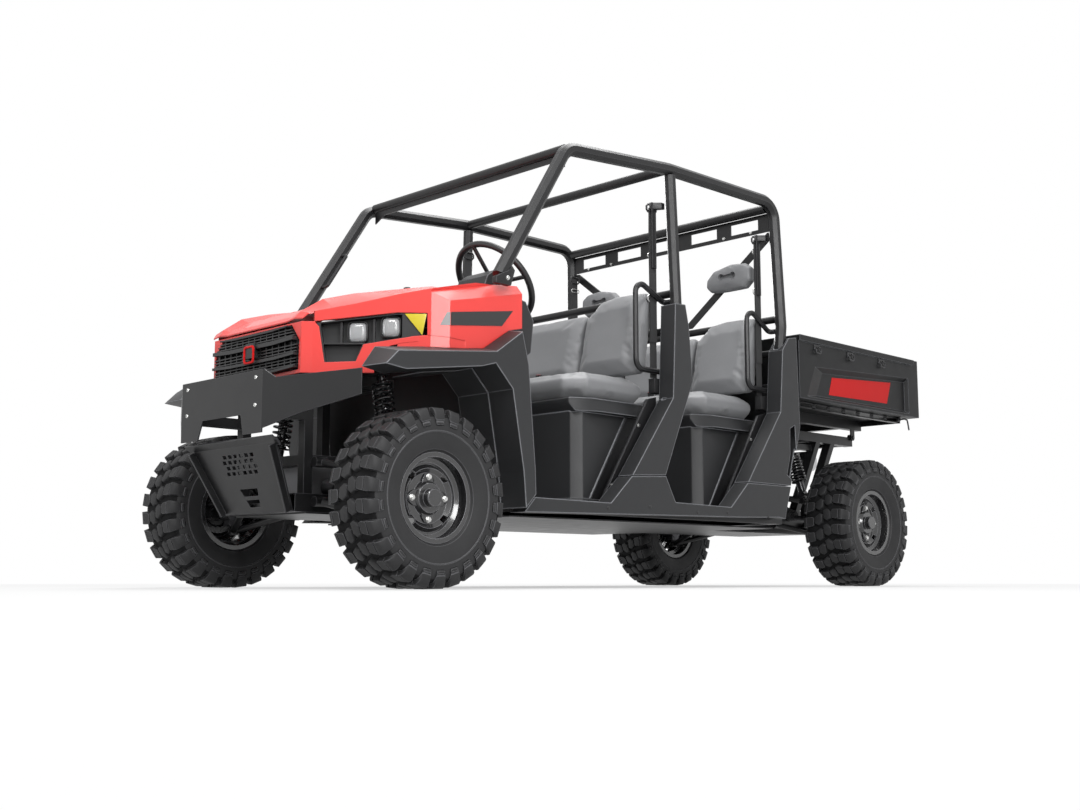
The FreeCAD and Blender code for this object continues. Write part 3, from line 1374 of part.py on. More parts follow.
def main():
    os.makedirs("parts", exist_ok=True)
    chassis()
    skid_plates()
    parts = wheel_parts()
    wheel("front_left", 1, FRONT, parts)
    wheel("front_right", -1, FRONT, parts)
    wheel("rear_left", 1, REAR, parts)
    wheel("rear_right", -1, REAR, parts)
    knuckles()
    suspension()
    driveline()
    exhaust()
    steering_rack()
    floor()
    seat_boxes()
    cushions()
    seat_belts()
    side_panels()
    fenders()
    hood()
    nose()
    grille()
    headlights()
    bumper()
    dash()
    steering()
    cage()
    hip_bars()
    bed()
    doc.recompute()
    for obj in doc.Objects:
        if "Invalid" in obj.State or "Error" in obj.State:
            raise RuntimeError("failed: %s (%s) %s" % (obj.Label, obj.TypeId, obj.State))
    for obj in NODES:
        if obj.Shape.isNull() or not obj.Shape.isValid():
            raise RuntimeError("bad shape: " + obj.Label)
        obj.Shape.exportStep("parts/%s.step" % obj.Label)
        print("%-24s %8.1f cm3  %d solids" % (obj.Label, obj.Shape.Volume / 1000, len(obj.Shape.Solids)))
    print(len(NODES), "sub-parts")


main()
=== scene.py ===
"""Looks of a crew utility vehicle: finishes, tread, padding, fittings and studio."""
import json
import logging
import math
from dataclasses import dataclass
from enum import Enum
from typing import Any, Callable, Iterable, Sequence

import bmesh
import bpy
from mathutils import Matrix, Vector


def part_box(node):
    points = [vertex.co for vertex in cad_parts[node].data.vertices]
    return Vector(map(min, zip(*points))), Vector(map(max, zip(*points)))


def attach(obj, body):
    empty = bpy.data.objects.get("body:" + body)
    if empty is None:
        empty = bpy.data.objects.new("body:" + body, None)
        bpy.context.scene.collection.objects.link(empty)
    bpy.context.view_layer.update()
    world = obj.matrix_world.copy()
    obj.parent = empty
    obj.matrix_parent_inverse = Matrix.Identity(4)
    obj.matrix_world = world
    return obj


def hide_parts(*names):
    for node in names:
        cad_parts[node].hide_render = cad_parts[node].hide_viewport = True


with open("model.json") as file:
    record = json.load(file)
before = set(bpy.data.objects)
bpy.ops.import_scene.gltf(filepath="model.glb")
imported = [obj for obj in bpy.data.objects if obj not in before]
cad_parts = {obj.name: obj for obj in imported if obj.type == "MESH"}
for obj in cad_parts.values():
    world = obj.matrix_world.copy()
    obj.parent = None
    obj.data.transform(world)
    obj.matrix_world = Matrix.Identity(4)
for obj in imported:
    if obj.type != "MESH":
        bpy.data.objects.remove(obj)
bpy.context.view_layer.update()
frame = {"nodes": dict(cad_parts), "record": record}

LOG = logging.getLogger("vehicle")
TURN = 2 * math.pi
Pair = tuple[float, float]
Point = tuple[float, float, float]
Colour = tuple[float, float, float]


class Value:
    """A number in a shader; arithmetic on it adds Math nodes."""

    def __init__(self, graph: "Graph", socket: bpy.types.NodeSocket) -> None:
        """Keeps the graph and the socket that gives the number."""
        self.graph = graph
        self.socket = socket

    def maths(self, operation: str, *values: Any) -> "Value":
        """Adds one Math node.

        Args:
            operation: The node's operation.
            values: Its inputs in order, numbers or values.

        Returns:
            The node's result.
        """
        node = self.graph.node("ShaderNodeMath", {"operation": operation}, dict(enumerate(values)))
        return Value(self.graph, node.outputs[0])

    def __add__(self, other: Any) -> "Value":
        """Sum."""
        return self.maths("ADD", self, other)

    def __radd__(self, other: Any) -> "Value":
        """Sum with a number on the left."""
        return self.maths("ADD", other, self)

    def __sub__(self, other: Any) -> "Value":
        """Difference."""
        return self.maths("SUBTRACT", self, other)

    def __rsub__(self, other: Any) -> "Value":
        """Difference from a number on the left."""
        return self.maths("SUBTRACT", other, self)

    def __mul__(self, other: Any) -> "Value":
        """Product."""
        return self.maths("MULTIPLY", self, other)

    def __rmul__(self, other: Any) -> "Value":
        """Product with a number on the left."""
        return self.maths("MULTIPLY", other, self)

    def clamped(self) -> "Value":
        """The number held between nought and one."""
        return self.maths("MINIMUM", self.maths("MAXIMUM", self, 0.0), 1.0)


class Graph:
    """A node tree and the method that adds nodes to it."""

    def __init__(self, tree: bpy.types.NodeTree) -> None:
        """Keeps the tree and empties it."""
        self.tree = tree
        tree.nodes.clear()

    def node(self, kind: str, settings: dict[str, Any] | None = None,
             values: dict[Any, Any] | None = None) -> bpy.types.Node:
        """Adds a node.

        Args:
            kind: The node's type.
            settings: Its properties, set first.
            values: Numbers, colours, sockets or values for its inputs, by name or place.

        Returns:
            The node.
        """
        node = self.tree.nodes.new(kind)
        for key, setting in (settings or {}).items():
            setattr(node, key, setting)
        for key, value in (values or {}).items():
            socket = node.inputs[key]
            if isinstance(value, Value):
                value = value.socket
            if isinstance(value, bpy.types.NodeSocket):
                self.tree.links.new(value, socket)
            elif isinstance(value, tuple) and len(value) == 3 and socket.type == "RGBA":
                socket.default_value = (*value, 1.0)
            else:
                socket.default_value = value
        return node


class Shade(Graph):
    """One material and the textures that it is mixed from."""

    def __init__(self, name: str) -> None:
        """Makes an empty node material of a name."""
        self.material = bpy.data.materials.new(name)
        self.material.use_nodes = True
        super().__init__(self.material.node_tree)

    def place(self) -> bpy.types.NodeSocket:
        """The point on the object, in metres."""
        return self.node("ShaderNodeTexCoord").outputs["Object"]

    def noise(self, scale: float, detail: float = 3.0, stretch: Point = (1.0, 1.0, 1.0)) -> Value:
        """Smooth noise over the object.

        Args:
            scale: Waves a metre.
            detail: Octaves.
            stretch: Factor of the scale along each axis.

        Returns:
            The noise, from nought to one.
        """
        spot = self.node("ShaderNodeMapping", None, {"Vector": self.place(), "Scale": stretch})
        made = self.node("ShaderNodeTexNoise", None,
                         {"Vector": spot.outputs[0], "Scale": scale, "Detail": detail})
        return Value(self, made.outputs[0])

    def cells(self, scale: float) -> Value:
        """Distance field of a cell pattern, with its cells a metre."""
        made = self.node("ShaderNodeTexVoronoi", {"feature": "F1"},
                         {"Vector": self.place(), "Scale": scale})
        return Value(self, made.outputs["Distance"])

    def blend(self, factor: Any, low: Any, high: Any) -> bpy.types.NodeSocket:
        """Mixes two colours.

        Args:
            factor: Share of the second.
            low: First colour.
            high: Second colour.

        Returns:
            The mixed colour's socket.
        """
        made = self.node("ShaderNodeMix", {"data_type": "RGBA"}, {0: factor, 6: low, 7: high})
        return made.outputs[2]

    def close(self, surface: bpy.types.NodeSocket) -> bpy.types.Material:
        """Links the surface and gives the material."""
        self.node("ShaderNodeOutputMaterial", None, {"Surface": surface})
        return self.material


class Grain(Enum):
    """Surface texture of a finish."""

    SMOOTH = "smooth"
    FINE = "fine"
    PEBBLE = "pebble"
    CAST = "cast"
    BRUSHED = "brushed"
    WEAVE = "weave"


DRIFT_WAVES, FLECK_WAVES, GLOSS_WAVES = 5.5, 90.0, 14.0
# Gain, threshold and colour factor of the painted edge highlight.
EDGE_GAIN, EDGE_FLOOR, EDGE_LIGHT = 22.0, 0.10, 12.0
COAT_ROUGHNESS, SHEEN_ROUGHNESS, LENS_INDEX = 0.06, 0.45, 1.49


@dataclass(frozen=True)
class Finish:
    """One finish: its colour, gloss, texture, painted edge highlight and how they vary."""

    name: str
    slot: str
    colour: Colour
    roughness: float
    spread: float = 0.08
    metallic: float = 0.0
    coat: float = 0.0
    grain: Grain = Grain.FINE
    grain_size: float = 0.0012
    grain_depth: float = 0.00012
    mottle: float = 0.12
    edge: float = 0.0
    sheen: float = 0.0
    clear: float = 0.0
    level: float = 0.5
    # Share of painted highlight along edges, where the rounded normal turns away from the face.
    painted_edge_highlight: float = 0.0

    def height(self, shade: Shade) -> Value | None:
        """The texture's height field, or None for a smooth finish."""
        scale = 1.0 / self.grain_size
        if self.grain is Grain.SMOOTH:
            return None
        if self.grain is Grain.PEBBLE:
            return shade.cells(scale * 0.7) + 0.35 * shade.noise(scale * 0.25, 2.0)
        if self.grain is Grain.CAST:
            return shade.noise(scale * 0.4, 4.0) + 0.5 * shade.cells(scale * 0.8)
        if self.grain is Grain.BRUSHED:
            return shade.noise(scale, 2.0, (1.0, 0.06, 0.06))
        if self.grain is Grain.WEAVE:
            weft, warp = (
                Value(shade, shade.node("ShaderNodeTexWave",
                                        {"wave_type": "BANDS", "bands_direction": way},
                                        {"Vector": shade.place(), "Scale": scale * 0.32}
                                        ).outputs["Fac"]) for way in ("X", "Z"))
            return weft * 0.5 + warp * 0.5
        return shade.noise(scale, 3.0)

    def build(self) -> bpy.types.Material:
        """Builds the material.

        Returns:
            The node material.
        """
        shade = Shade(self.name)
        drift = shade.noise(DRIFT_WAVES, 4.0)
        flecks = shade.noise(FLECK_WAVES, 2.0)
        dark = tuple(c * (1 - self.mottle) for c in self.colour)
        pale = tuple(min(1.0, c * (1 + self.mottle)) for c in self.colour)
        tone = shade.blend((drift * 0.7 + flecks * 0.3).clamped(), dark, pale)
        # Painted highlight: a much lighter colour mixed in along edges, standing in for the
        # reflection on rounded edges.
        if self.painted_edge_highlight:
            rounded = shade.node("ShaderNodeBevel", {"samples": 8}, {"Radius": self.edge})
            flat = shade.node("ShaderNodeNewGeometry")
            along = shade.node("ShaderNodeVectorMath", {"operation": "DOT_PRODUCT"},
                               {0: rounded.outputs[0], 1: flat.outputs["Normal"]})
            turned = 1.0 - Value(shade, along.outputs["Value"])
            rim = (turned * EDGE_GAIN - EDGE_FLOOR).clamped()
            light = tuple(c * EDGE_LIGHT for c in self.colour)
            tone = shade.blend(rim * self.painted_edge_highlight, tone, light)
        blotches = shade.noise(GLOSS_WAVES, 4.0) - 0.5
        gloss = (self.roughness + self.spread * blotches * 2.0).clamped()
        values: dict[Any, Any] = {"Base Color": tone, "Roughness": gloss, "Metallic": self.metallic,
                                  "Coat Weight": self.coat, "Coat Roughness": COAT_ROUGHNESS,
                                  "Specular IOR Level": self.level}
        if self.sheen:
            values.update({"Sheen Weight": self.sheen, "Sheen Roughness": SHEEN_ROUGHNESS})
        if self.clear:
            values.update({"Transmission Weight": self.clear, "IOR": LENS_INDEX})
        field = self.height(shade)
        normal = None
        if self.edge:
            normal = shade.node("ShaderNodeBevel", {"samples": 6}, {"Radius": self.edge}).outputs[0]
        if field is not None:
            bump = {"Height": field, "Distance": self.grain_depth, "Strength": 1.0}
            if normal is not None:
                bump["Normal"] = normal
            normal = shade.node("ShaderNodeBump", None, bump).outputs[0]
        if normal is not None:
            values["Normal"] = normal
        return shade.close(shade.node("ShaderNodeBsdfPrincipled", None, values).outputs[0])


# The last keyword of the charcoal, bed, powder, rim and tyre finishes sets their painted edge
# highlight.
FINISHES = {f.name: f for f in (
    Finish("panel_red", "red_panel", (0.80, 0.056, 0.048), 0.38, 0.05, coat=0.35, grain=Grain.FINE,
           grain_size=0.004, grain_depth=0.00005, mottle=0.03, edge=0.005, level=0.36),
    Finish("moulded_charcoal", "charcoal_plastic", (0.0215, 0.022, 0.0235), 0.46, 0.06,
           grain_size=0.0014, grain_depth=0.00016, mottle=0.10, edge=0.007, level=0.36, painted_edge_highlight=0.8),
    Finish("moulded_black", "black_plastic", (0.012, 0.012, 0.013), 0.42, 0.08,
           grain_size=0.0012, grain_depth=0.00010, mottle=0.15, edge=0.0015),
    Finish("bed_charcoal", "bed_plastic", (0.0085, 0.0088, 0.0095), 0.46, 0.08,
           grain_size=0.0018, grain_depth=0.00022, mottle=0.12, edge=0.007, level=0.24, painted_edge_highlight=0.8),
    Finish("powder_black", "black_steel", (0.009, 0.009, 0.0098), 0.38, 0.07, grain=Grain.CAST,
           grain_size=0.0016, grain_depth=0.00007, mottle=0.15, edge=0.003, level=0.40, painted_edge_highlight=0.6),
    Finish("cast_grey", "cast_steel", (0.085, 0.085, 0.09), 0.48, 0.10, 0.75, grain=Grain.CAST,
           grain_size=0.003, grain_depth=0.0004, mottle=0.2, edge=0.0015),
    Finish("spring_black", "spring_steel", (0.016, 0.016, 0.018), 0.25, 0.06, coat=0.4,
           grain=Grain.SMOOTH, mottle=0.15),
    Finish("alloy_grey", "cast_alloy", (0.33, 0.33, 0.345), 0.45, 0.08, 0.9, grain=Grain.CAST,
           grain_size=0.003, grain_depth=0.0003, mottle=0.14, edge=0.002),
    Finish("steel_bright", "bare_steel", (0.50, 0.50, 0.51), 0.30, 0.10, 1.0, grain=Grain.BRUSHED,
           grain_size=0.0008, grain_depth=0.00004, mottle=0.10, edge=0.001),
    Finish("seat_vinyl", "grey_vinyl", (0.205, 0.208, 0.215), 0.50, 0.06, grain=Grain.PEBBLE,
           grain_size=0.0022, grain_depth=0.00020, mottle=0.06, sheen=0.12),
    Finish("belt_webbing", "black_webbing", (0.016, 0.016, 0.017), 0.72, 0.06, grain=Grain.WEAVE,
           grain_size=0.0018, grain_depth=0.00025, mottle=0.2, sheen=0.3),
    Finish("rim_gloss", "gloss_black_alloy", (0.014, 0.014, 0.015), 0.24, 0.06, coat=0.9,
           grain=Grain.CAST, grain_size=0.006, grain_depth=0.00005, mottle=0.2, edge=0.004,
           painted_edge_highlight=0.8),
    Finish("tyre_black", "tyre_rubber", (0.018, 0.018, 0.019), 0.62, 0.10, grain_size=0.003,
           grain_depth=0.00025, mottle=0.25, edge=0.004, level=0.36, painted_edge_highlight=0.4),
    # Darker, duller copy of the tyre rubber: painted shade between the tread blocks.
    Finish("tyre_groove_shade", "tyre_rubber", (0.007, 0.007, 0.0075), 0.80, 0.05, grain_size=0.004,
           grain_depth=0.0002, mottle=0.2, level=0.2),
    Finish("lens_clear", "clear_lens", (0.66, 0.67, 0.68), 0.12, 0.03, grain=Grain.SMOOTH,
           mottle=0.04, clear=0.55, coat=0.3),
    Finish("lens_red", "red_lens", (0.40, 0.006, 0.008), 0.14, 0.03, grain=Grain.SMOOTH,
           mottle=0.10, coat=0.6),
    Finish("marker_amber", "clear_lens", (0.62, 0.50, 0.02), 0.26, 0.03, grain=Grain.SMOOTH,
           mottle=0.06, coat=0.3),
    Finish("decal_red", "red_panel", (0.66, 0.008, 0.008), 0.42, 0.03, grain=Grain.SMOOTH,
           mottle=0.03, level=0.2),
    Finish("decal_black", "black_plastic", (0.013, 0.012, 0.013), 0.30, 0.03, grain=Grain.SMOOTH,
           mottle=0.05, coat=0.3),
    Finish("zinc_plate", "bare_steel", (0.62, 0.62, 0.61), 0.24, 0.08, 1.0, grain=Grain.CAST,
           grain_size=0.002, grain_depth=0.00005, mottle=0.1),
    Finish("button_red", "red_panel", (0.60, 0.015, 0.02), 0.35, 0.03, grain=Grain.SMOOTH,
           mottle=0.05),
)}
MADE: dict[str, bpy.types.Material] = {}


def finish(name: str) -> bpy.types.Material:
    """The material of a finish, built once."""
    if name not in MADE:
        MADE[name] = FINISHES[name].build()
    return MADE[name]


def across(axis: str, at: float, outline: Iterable[Pair]) -> list[Point]:
    """Places an outline on a plane.

    Args:
        axis: The axis that the plane stands across.
        at: Where it stands on that axis.
        outline: Places along the two other axes, in their order.

    Returns:
        The outline's points.
    """
    spot = "xyz".index(axis)
    return [(*pair[:spot], at, *pair[spot:]) for pair in outline]


def oblong(us: Pair, vs: Pair) -> list[Pair]:
    """Corners of a rectangle from its two spans."""
    return [(us[0], vs[0]), (us[1], vs[0]), (us[1], vs[1]), (us[0], vs[1])]


def squared_circle(power: float, count: int, phase: float = 0.0) -> list[Pair]:
    """Points of a square with rounded corners, from minus one to one.

    Args:
        power: How square it is.
        count: How many points.
        phase: Share of a step that the first point is turned by.

    Returns:
        The points in order.
    """
    points = []
    for k in range(count):
        angle = TURN * (k + phase) / count
        c, s = math.cos(angle), math.sin(angle)
        reach = (abs(c) ** power + abs(s) ** power) ** (-1 / power)
        points.append((reach * c, reach * s))
    return points


def placed(name: str, data: Any) -> bpy.types.Object:
    """Puts a new object with a mesh, lamp or camera into the scene."""
    made = bpy.data.objects.new(name, data)
    bpy.context.scene.collection.objects.link(made)
    return made


def embody(name: str, mesh: bmesh.types.BMesh) -> bpy.types.Object:
    """Turns a finished mesh into an object in the scene."""
    data = bpy.data.meshes.new(name)
    mesh.to_mesh(data)
    mesh.free()
    return placed(name, data)


def join(mesh: bmesh.types.BMesh, a: Sequence[bmesh.types.BMVert],
         b: Sequence[bmesh.types.BMVert]) -> None:
    """Joins two rings of equal count with quads."""
    for i in range(len(a)):
        j = (i + 1) % len(a)
        mesh.faces.new((a[i], a[j], b[j], b[i]))


class Stuff:
    """A mesh that is being put together, with its finish and the body that carries it."""

    def __init__(self, name: str, body: str, look: str) -> None:
        """Starts an empty mesh.

        Args:
            name: The piece's name.
            body: The body that it rides on.
            look: Name of its finish.
        """
        self.name = name
        self.body = body
        self.look = look
        self.mesh = bmesh.new()

    def loop(self, points: Iterable[Sequence[float]]) -> list[bmesh.types.BMVert]:
        """Adds a ring of points."""
        return [self.mesh.verts.new(Vector(p)) for p in points]

    def bridge(self, rings: Sequence[Sequence[bmesh.types.BMVert]], capped: bool = True,
               round_trip: bool = False) -> None:
        """Joins rings of equal count with quads.

        Args:
            rings: The rings in order.
            capped: Closes the first and last ring.
            round_trip: Joins the last ring to the first.
        """
        pairs = list(zip(rings, rings[1:])) + ([(rings[-1], rings[0])] if round_trip else [])
        for a, b in pairs:
            join(self.mesh, a, b)
        if capped and not round_trip:
            self.mesh.faces.new(list(reversed(rings[0])))
            self.mesh.faces.new(list(rings[-1]))

    def prism(self, outline: Sequence[Point], offset: Sequence[float]) -> None:
        """Adds a closed prism: an outline and its copy moved by an offset."""
        lower = self.loop(outline)
        upper = self.loop([Vector(p) + Vector(offset) for p in outline])
        self.bridge([lower, upper])

    def pipe(self, path: Sequence[Sequence[float]], radius: float | Sequence[float],
             sides: int = 12, closed: bool = False) -> None:
        """Adds a round bar along points.

        Args:
            path: Centre points.
            radius: One radius, or one for each point.
            sides: Corners of the section.
            closed: Joins the end to the start.
        """
        line = [Vector(p) for p in path]
        count = len(line)
        radii = [radius] * count if isinstance(radius, (int, float)) else list(radius)
        up = None
        rings = []
        for i, p in enumerate(line):
            before = line[(i - 1) % count] if closed or i else p
            after = line[(i + 1) % count] if closed or i < count - 1 else p
            along = (after - before).normalized()
            if up is None:
                up = along.orthogonal().normalized()
            up = (up - along * up.dot(along)).normalized()
            rings.append(self.circle(p, up, along.cross(up), radii[i], sides))
        self.bridge(rings, not closed, closed)

    def circle(self, centre: Vector, up: Vector, side: Vector, radius: float,
               sides: int) -> list[bmesh.types.BMVert]:
        """Adds a ring of points round a centre, in the plane of two directions."""
        return self.loop([centre + (up * math.cos(TURN * k / sides)
                                    + side * math.sin(TURN * k / sides)) * radius
                          for k in range(sides)])

    def spin(self, profile: Sequence[Pair], centre: Sequence[float],
             axis: Sequence[float], sides: int = 32) -> None:
        """Adds a turned solid.

        Args:
            profile: Closed outline of distances along the axis and radii; nought is the axis.
            centre: Where the axis starts.
            axis: Its direction.
            sides: Corners of a ring.
        """
        along = Vector(axis).normalized()
        up = along.orthogonal().normalized()
        side = along.cross(up)
        rings = [self.circle(Vector(centre) + along * s, up, side, r, sides) for s, r in profile]
        self.bridge(rings, False, True)

    def done(self, replaces: Sequence[str] = (), bevel: float = 0.0, smooth: bool = True,
             merge: float = 1e-5) -> bpy.types.Object:
        """Makes the object, dresses it and lets it ride.

        Args:
            replaces: CAD nodes that it stands for.
            bevel: Width of rounded edges.
            smooth: Shades it smooth below 35 degrees.
            merge: Distance under which points join.

        Returns:
            The object.
        """
        bmesh.ops.remove_doubles(self.mesh, verts=self.mesh.verts, dist=merge)
        bmesh.ops.dissolve_degenerate(self.mesh, edges=self.mesh.edges, dist=merge)
        bmesh.ops.recalc_face_normals(self.mesh, faces=self.mesh.faces)
        made = embody(self.name, self.mesh)
        if bevel:
            rounding = made.modifiers.new("rounding", "BEVEL")
            rounding.width = bevel
            rounding.segments = 2
            rounding.limit_method = "ANGLE"
            rounding.angle_limit = math.radians(35)
            bake(made)
        if smooth:
            soften(made)
        return dress(made, self.body, self.look, replaces)


def bake(made: bpy.types.Object) -> None:
    """Applies an object's modifiers to its mesh."""
    graph = bpy.context.evaluated_depsgraph_get()
    result = bpy.data.meshes.new_from_object(made.evaluated_get(graph), depsgraph=graph)
    made.modifiers.clear()
    made.data = result


def soften(made: bpy.types.Object, angle: float = 35.0) -> None:
    """Shades a mesh smooth, with sharp edges past an angle in degrees."""
    made.data.shade_smooth()
    made.data.set_sharp_from_angle(angle=math.radians(angle))


def dress(made: bpy.types.Object, body: str, look: str,
          replaces: Sequence[str] = ()) -> bpy.types.Object:
    """Gives a piece its finish and body.

    Args:
        made: The piece.
        body: The body that it rides on.
        look: Name of its finish.
        replaces: CAD nodes that it stands for.

    Returns:
        The piece.
    """
    made.data.materials.clear()
    made.data.materials.append(finish(look))
    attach(made, body)
    if replaces:
        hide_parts(*replaces)
    LOG.info("%s: %d faces", made.name, len(made.data.polygons))
    return made


class Pattern(Graph):
    """A Geometry Nodes tree that repeats a shape, with named inputs for its sizes."""

    def __init__(self, name: str, inputs: dict[str, tuple[str, Any]]) -> None:
        """Starts the tree.

        Args:
            name: The tree's name.
            inputs: Socket type and default value by input name.
        """
        super().__init__(bpy.data.node_groups.new(name, "GeometryNodeTree"))
        face = self.tree.interface
        for way in ("INPUT", "OUTPUT"):
            face.new_socket("Geometry", in_out=way, socket_type="NodeSocketGeometry")
        for label, (kind, value) in inputs.items():
            socket = face.new_socket(label, in_out="INPUT", socket_type=kind)
            if value is not None:
                socket.default_value = value
        self.source = self.tree.nodes.new("NodeGroupInput").outputs

    def close(self, instances: bpy.types.NodeSocket) -> None:
        """Ends the tree in real geometry with a material."""
        real = self.node("GeometryNodeRealizeInstances", None, {"Geometry": instances})
        dressed = self.node("GeometryNodeSetMaterial", None,
                            {"Geometry": real.outputs[0], "Material": self.source["Finish"]})
        self.node("NodeGroupOutput", None, {0: dressed.outputs[0]})

    def apply(self, made: bpy.types.Object, look: str, **sizes: Any) -> None:
        """Runs the tree on an object and keeps the result as its mesh.

        Args:
            made: The object that the tree works on.
            look: Name of the finish.
            sizes: Values of the tree's inputs, with spaces in their names as underscores.
        """
        modifier = made.modifiers.new("pattern", "NODES")
        modifier.node_group = self.tree
        values = {key.replace("_", " "): value for key, value in sizes.items()}
        values["Finish"] = finish(look)
        for item in self.tree.interface.items_tree:
            if item.in_out == "INPUT" and item.name in values:
                modifier[item.identifier] = values[item.name]
        bake(made)


class RingPattern(Pattern):
    """Copies of a shape round the X axis."""

    def __init__(self) -> None:
        """Builds the tree."""
        super().__init__("ring_pattern", {"Count": ("NodeSocketInt", 8),
                                          "Start": ("NodeSocketFloat", 0.0),
                                          "Finish": ("NodeSocketMaterial", None)})
        spots = self.node("GeometryNodeMeshLine", None,
                          {"Count": self.source["Count"], "Offset": (0.0, 0.0, 0.0)})
        index = self.node("GeometryNodeInputIndex")
        share = self.node("ShaderNodeMath", {"operation": "DIVIDE"},
                          {0: index.outputs[0], 1: self.source["Count"]})
        angle = self.node("ShaderNodeMath", {"operation": "MULTIPLY_ADD"},
                          {0: share.outputs[0], 1: TURN, 2: self.source["Start"]})
        turn = self.node("ShaderNodeCombineXYZ", None, {"X": angle.outputs[0]})
        copies = self.node("GeometryNodeInstanceOnPoints", None,
                           {"Points": spots.outputs[0], "Instance": self.source["Geometry"],
                            "Rotation": turn.outputs[0]})
        self.close(copies.outputs[0])


class RowPattern(Pattern):
    """Copies of a shape in a straight row."""

    def __init__(self) -> None:
        """Builds the tree."""
        super().__init__("row_pattern", {"Count": ("NodeSocketInt", 4),
                                         "Step": ("NodeSocketVector", (0.1, 0.0, 0.0)),
                                         "Finish": ("NodeSocketMaterial", None)})
        spots = self.node("GeometryNodeMeshLine", None,
                          {"Count": self.source["Count"], "Offset": self.source["Step"]})
        copies = self.node("GeometryNodeInstanceOnPoints", None,
                           {"Points": spots.outputs[0], "Instance": self.source["Geometry"]})
        self.close(copies.outputs[0])


class ScatterPattern(Pattern):
    """A fitting on each point of a mesh, turned as the point's own attribute says."""

    def __init__(self) -> None:
        """Builds the tree."""
        super().__init__("scatter_pattern", {"Fitting": ("NodeSocketObject", None),
                                             "Size": ("NodeSocketFloat", 1.0),
                                             "Finish": ("NodeSocketMaterial", None)})
        shape = self.node("GeometryNodeObjectInfo", None, {"Object": self.source["Fitting"]})
        turn = self.node("GeometryNodeInputNamedAttribute", {"data_type": "FLOAT_VECTOR"},
                         {"Name": "turn"})
        spots = self.node("GeometryNodeMeshToPoints", None, {"Mesh": self.source["Geometry"]})
        copies = self.node("GeometryNodeInstanceOnPoints", None,
                           {"Points": spots.outputs[0], "Instance": shape.outputs["Geometry"],
                            "Rotation": turn.outputs[0], "Scale": self.source["Size"]})
        self.close(copies.outputs[0])


class Head(Enum):
    """Kinds of fastener head."""

    HEX = "hex"
    BUTTON = "button"
    RIVET = "rivet"


HEADS = {
    Head.HEX: [(12, 1.12, -0.4), (12, 1.12, 0.16), (6, 1.0, 0.16), (6, 1.0, 0.72), (6, 0.86, 0.84)],
    Head.BUTTON: [(12, 1.0, -0.4), (12, 1.0, 0.12), (12, 0.86, 0.38), (12, 0.50, 0.52),
                  (12, 0.46, 0.52), (12, 0.42, 0.20)],
    Head.RIVET: [(10, 1.0, -0.4), (10, 1.0, 0.10), (10, 0.72, 0.34), (10, 0.30, 0.42)],
}


class Patterns:
    """The repeating trees, each built once."""

    def __init__(self) -> None:
        """Builds the three trees."""
        self.ring = RingPattern()
        self.row = RowPattern()
        self.scatter = ScatterPattern()

    def head(self, kind: Head, radius: float) -> bpy.types.Object:
        """A fastener's head standing on the XY plane along Z.

        Args:
            kind: Its form.
            radius: Half its width.

        Returns:
            The template object.
        """
        mesh = bmesh.new()
        rings = []
        for sides, wide, rise in HEADS[kind]:
            rings.append([mesh.verts.new((radius * wide * math.cos(TURN * k / sides),
                                          radius * wide * math.sin(TURN * k / sides),
                                          radius * rise)) for k in range(sides)])
        for a, b in zip(rings, rings[1:]):
            if len(a) == len(b):
                join(mesh, a, b)
            else:
                for i in range(len(b)):
                    j = (i + 1) % len(b)
                    mesh.faces.new((a[2 * i], a[2 * i + 1], b[i]))
                    mesh.faces.new((a[2 * i + 1], a[(2 * i + 2) % len(a)], b[j], b[i]))
        mesh.faces.new(rings[-1])
        mesh.faces.new(list(reversed(rings[0])))
        bmesh.ops.recalc_face_normals(mesh, faces=mesh.faces)
        return embody("head_" + kind.value, mesh)

    def fasteners(self, name: str, body: str, look: str, kind: Head, radius: float,
                  spots: Sequence[tuple[Sequence[float], Sequence[float]]]) -> bpy.types.Object:
        """Puts fasteners on places.

        Args:
            name: The piece's name.
            body: The body that carries them.
            look: Name of their finish.
            kind: Form of the head.
            radius: Half the head's width.
            spots: Place and outward direction of each.

        Returns:
            One object with all heads.
        """
        data = bpy.data.meshes.new(name)
        data.from_pydata([tuple(p) for p, _ in spots], [], [])
        turns = data.attributes.new("turn", "FLOAT_VECTOR", "POINT")
        for i, (_, way) in enumerate(spots):
            turns.data[i].vector = Vector(way).to_track_quat("Z", "Y").to_euler()
        made = placed(name, data)
        template = self.head(kind, radius)
        self.scatter.apply(made, look, Fitting=template, Size=1.0)
        bpy.data.objects.remove(template)
        soften(made, 30.0)
        return dress(made, body, look)


PATTERNS = Patterns()


@dataclass(frozen=True)
class Corner:
    """One wheel's place."""

    name: str
    side: int
    y: float

    @property
    def body(self) -> str:
        """The wheel's body."""
        return "wheel_" + self.name


FRONT_AXLE, REAR_AXLE = -1.575, 1.436
CORNERS = (Corner("front_left", 1, FRONT_AXLE), Corner("front_right", -1, FRONT_AXLE),
           Corner("rear_left", 1, REAR_AXLE), Corner("rear_right", -1, REAR_AXLE))


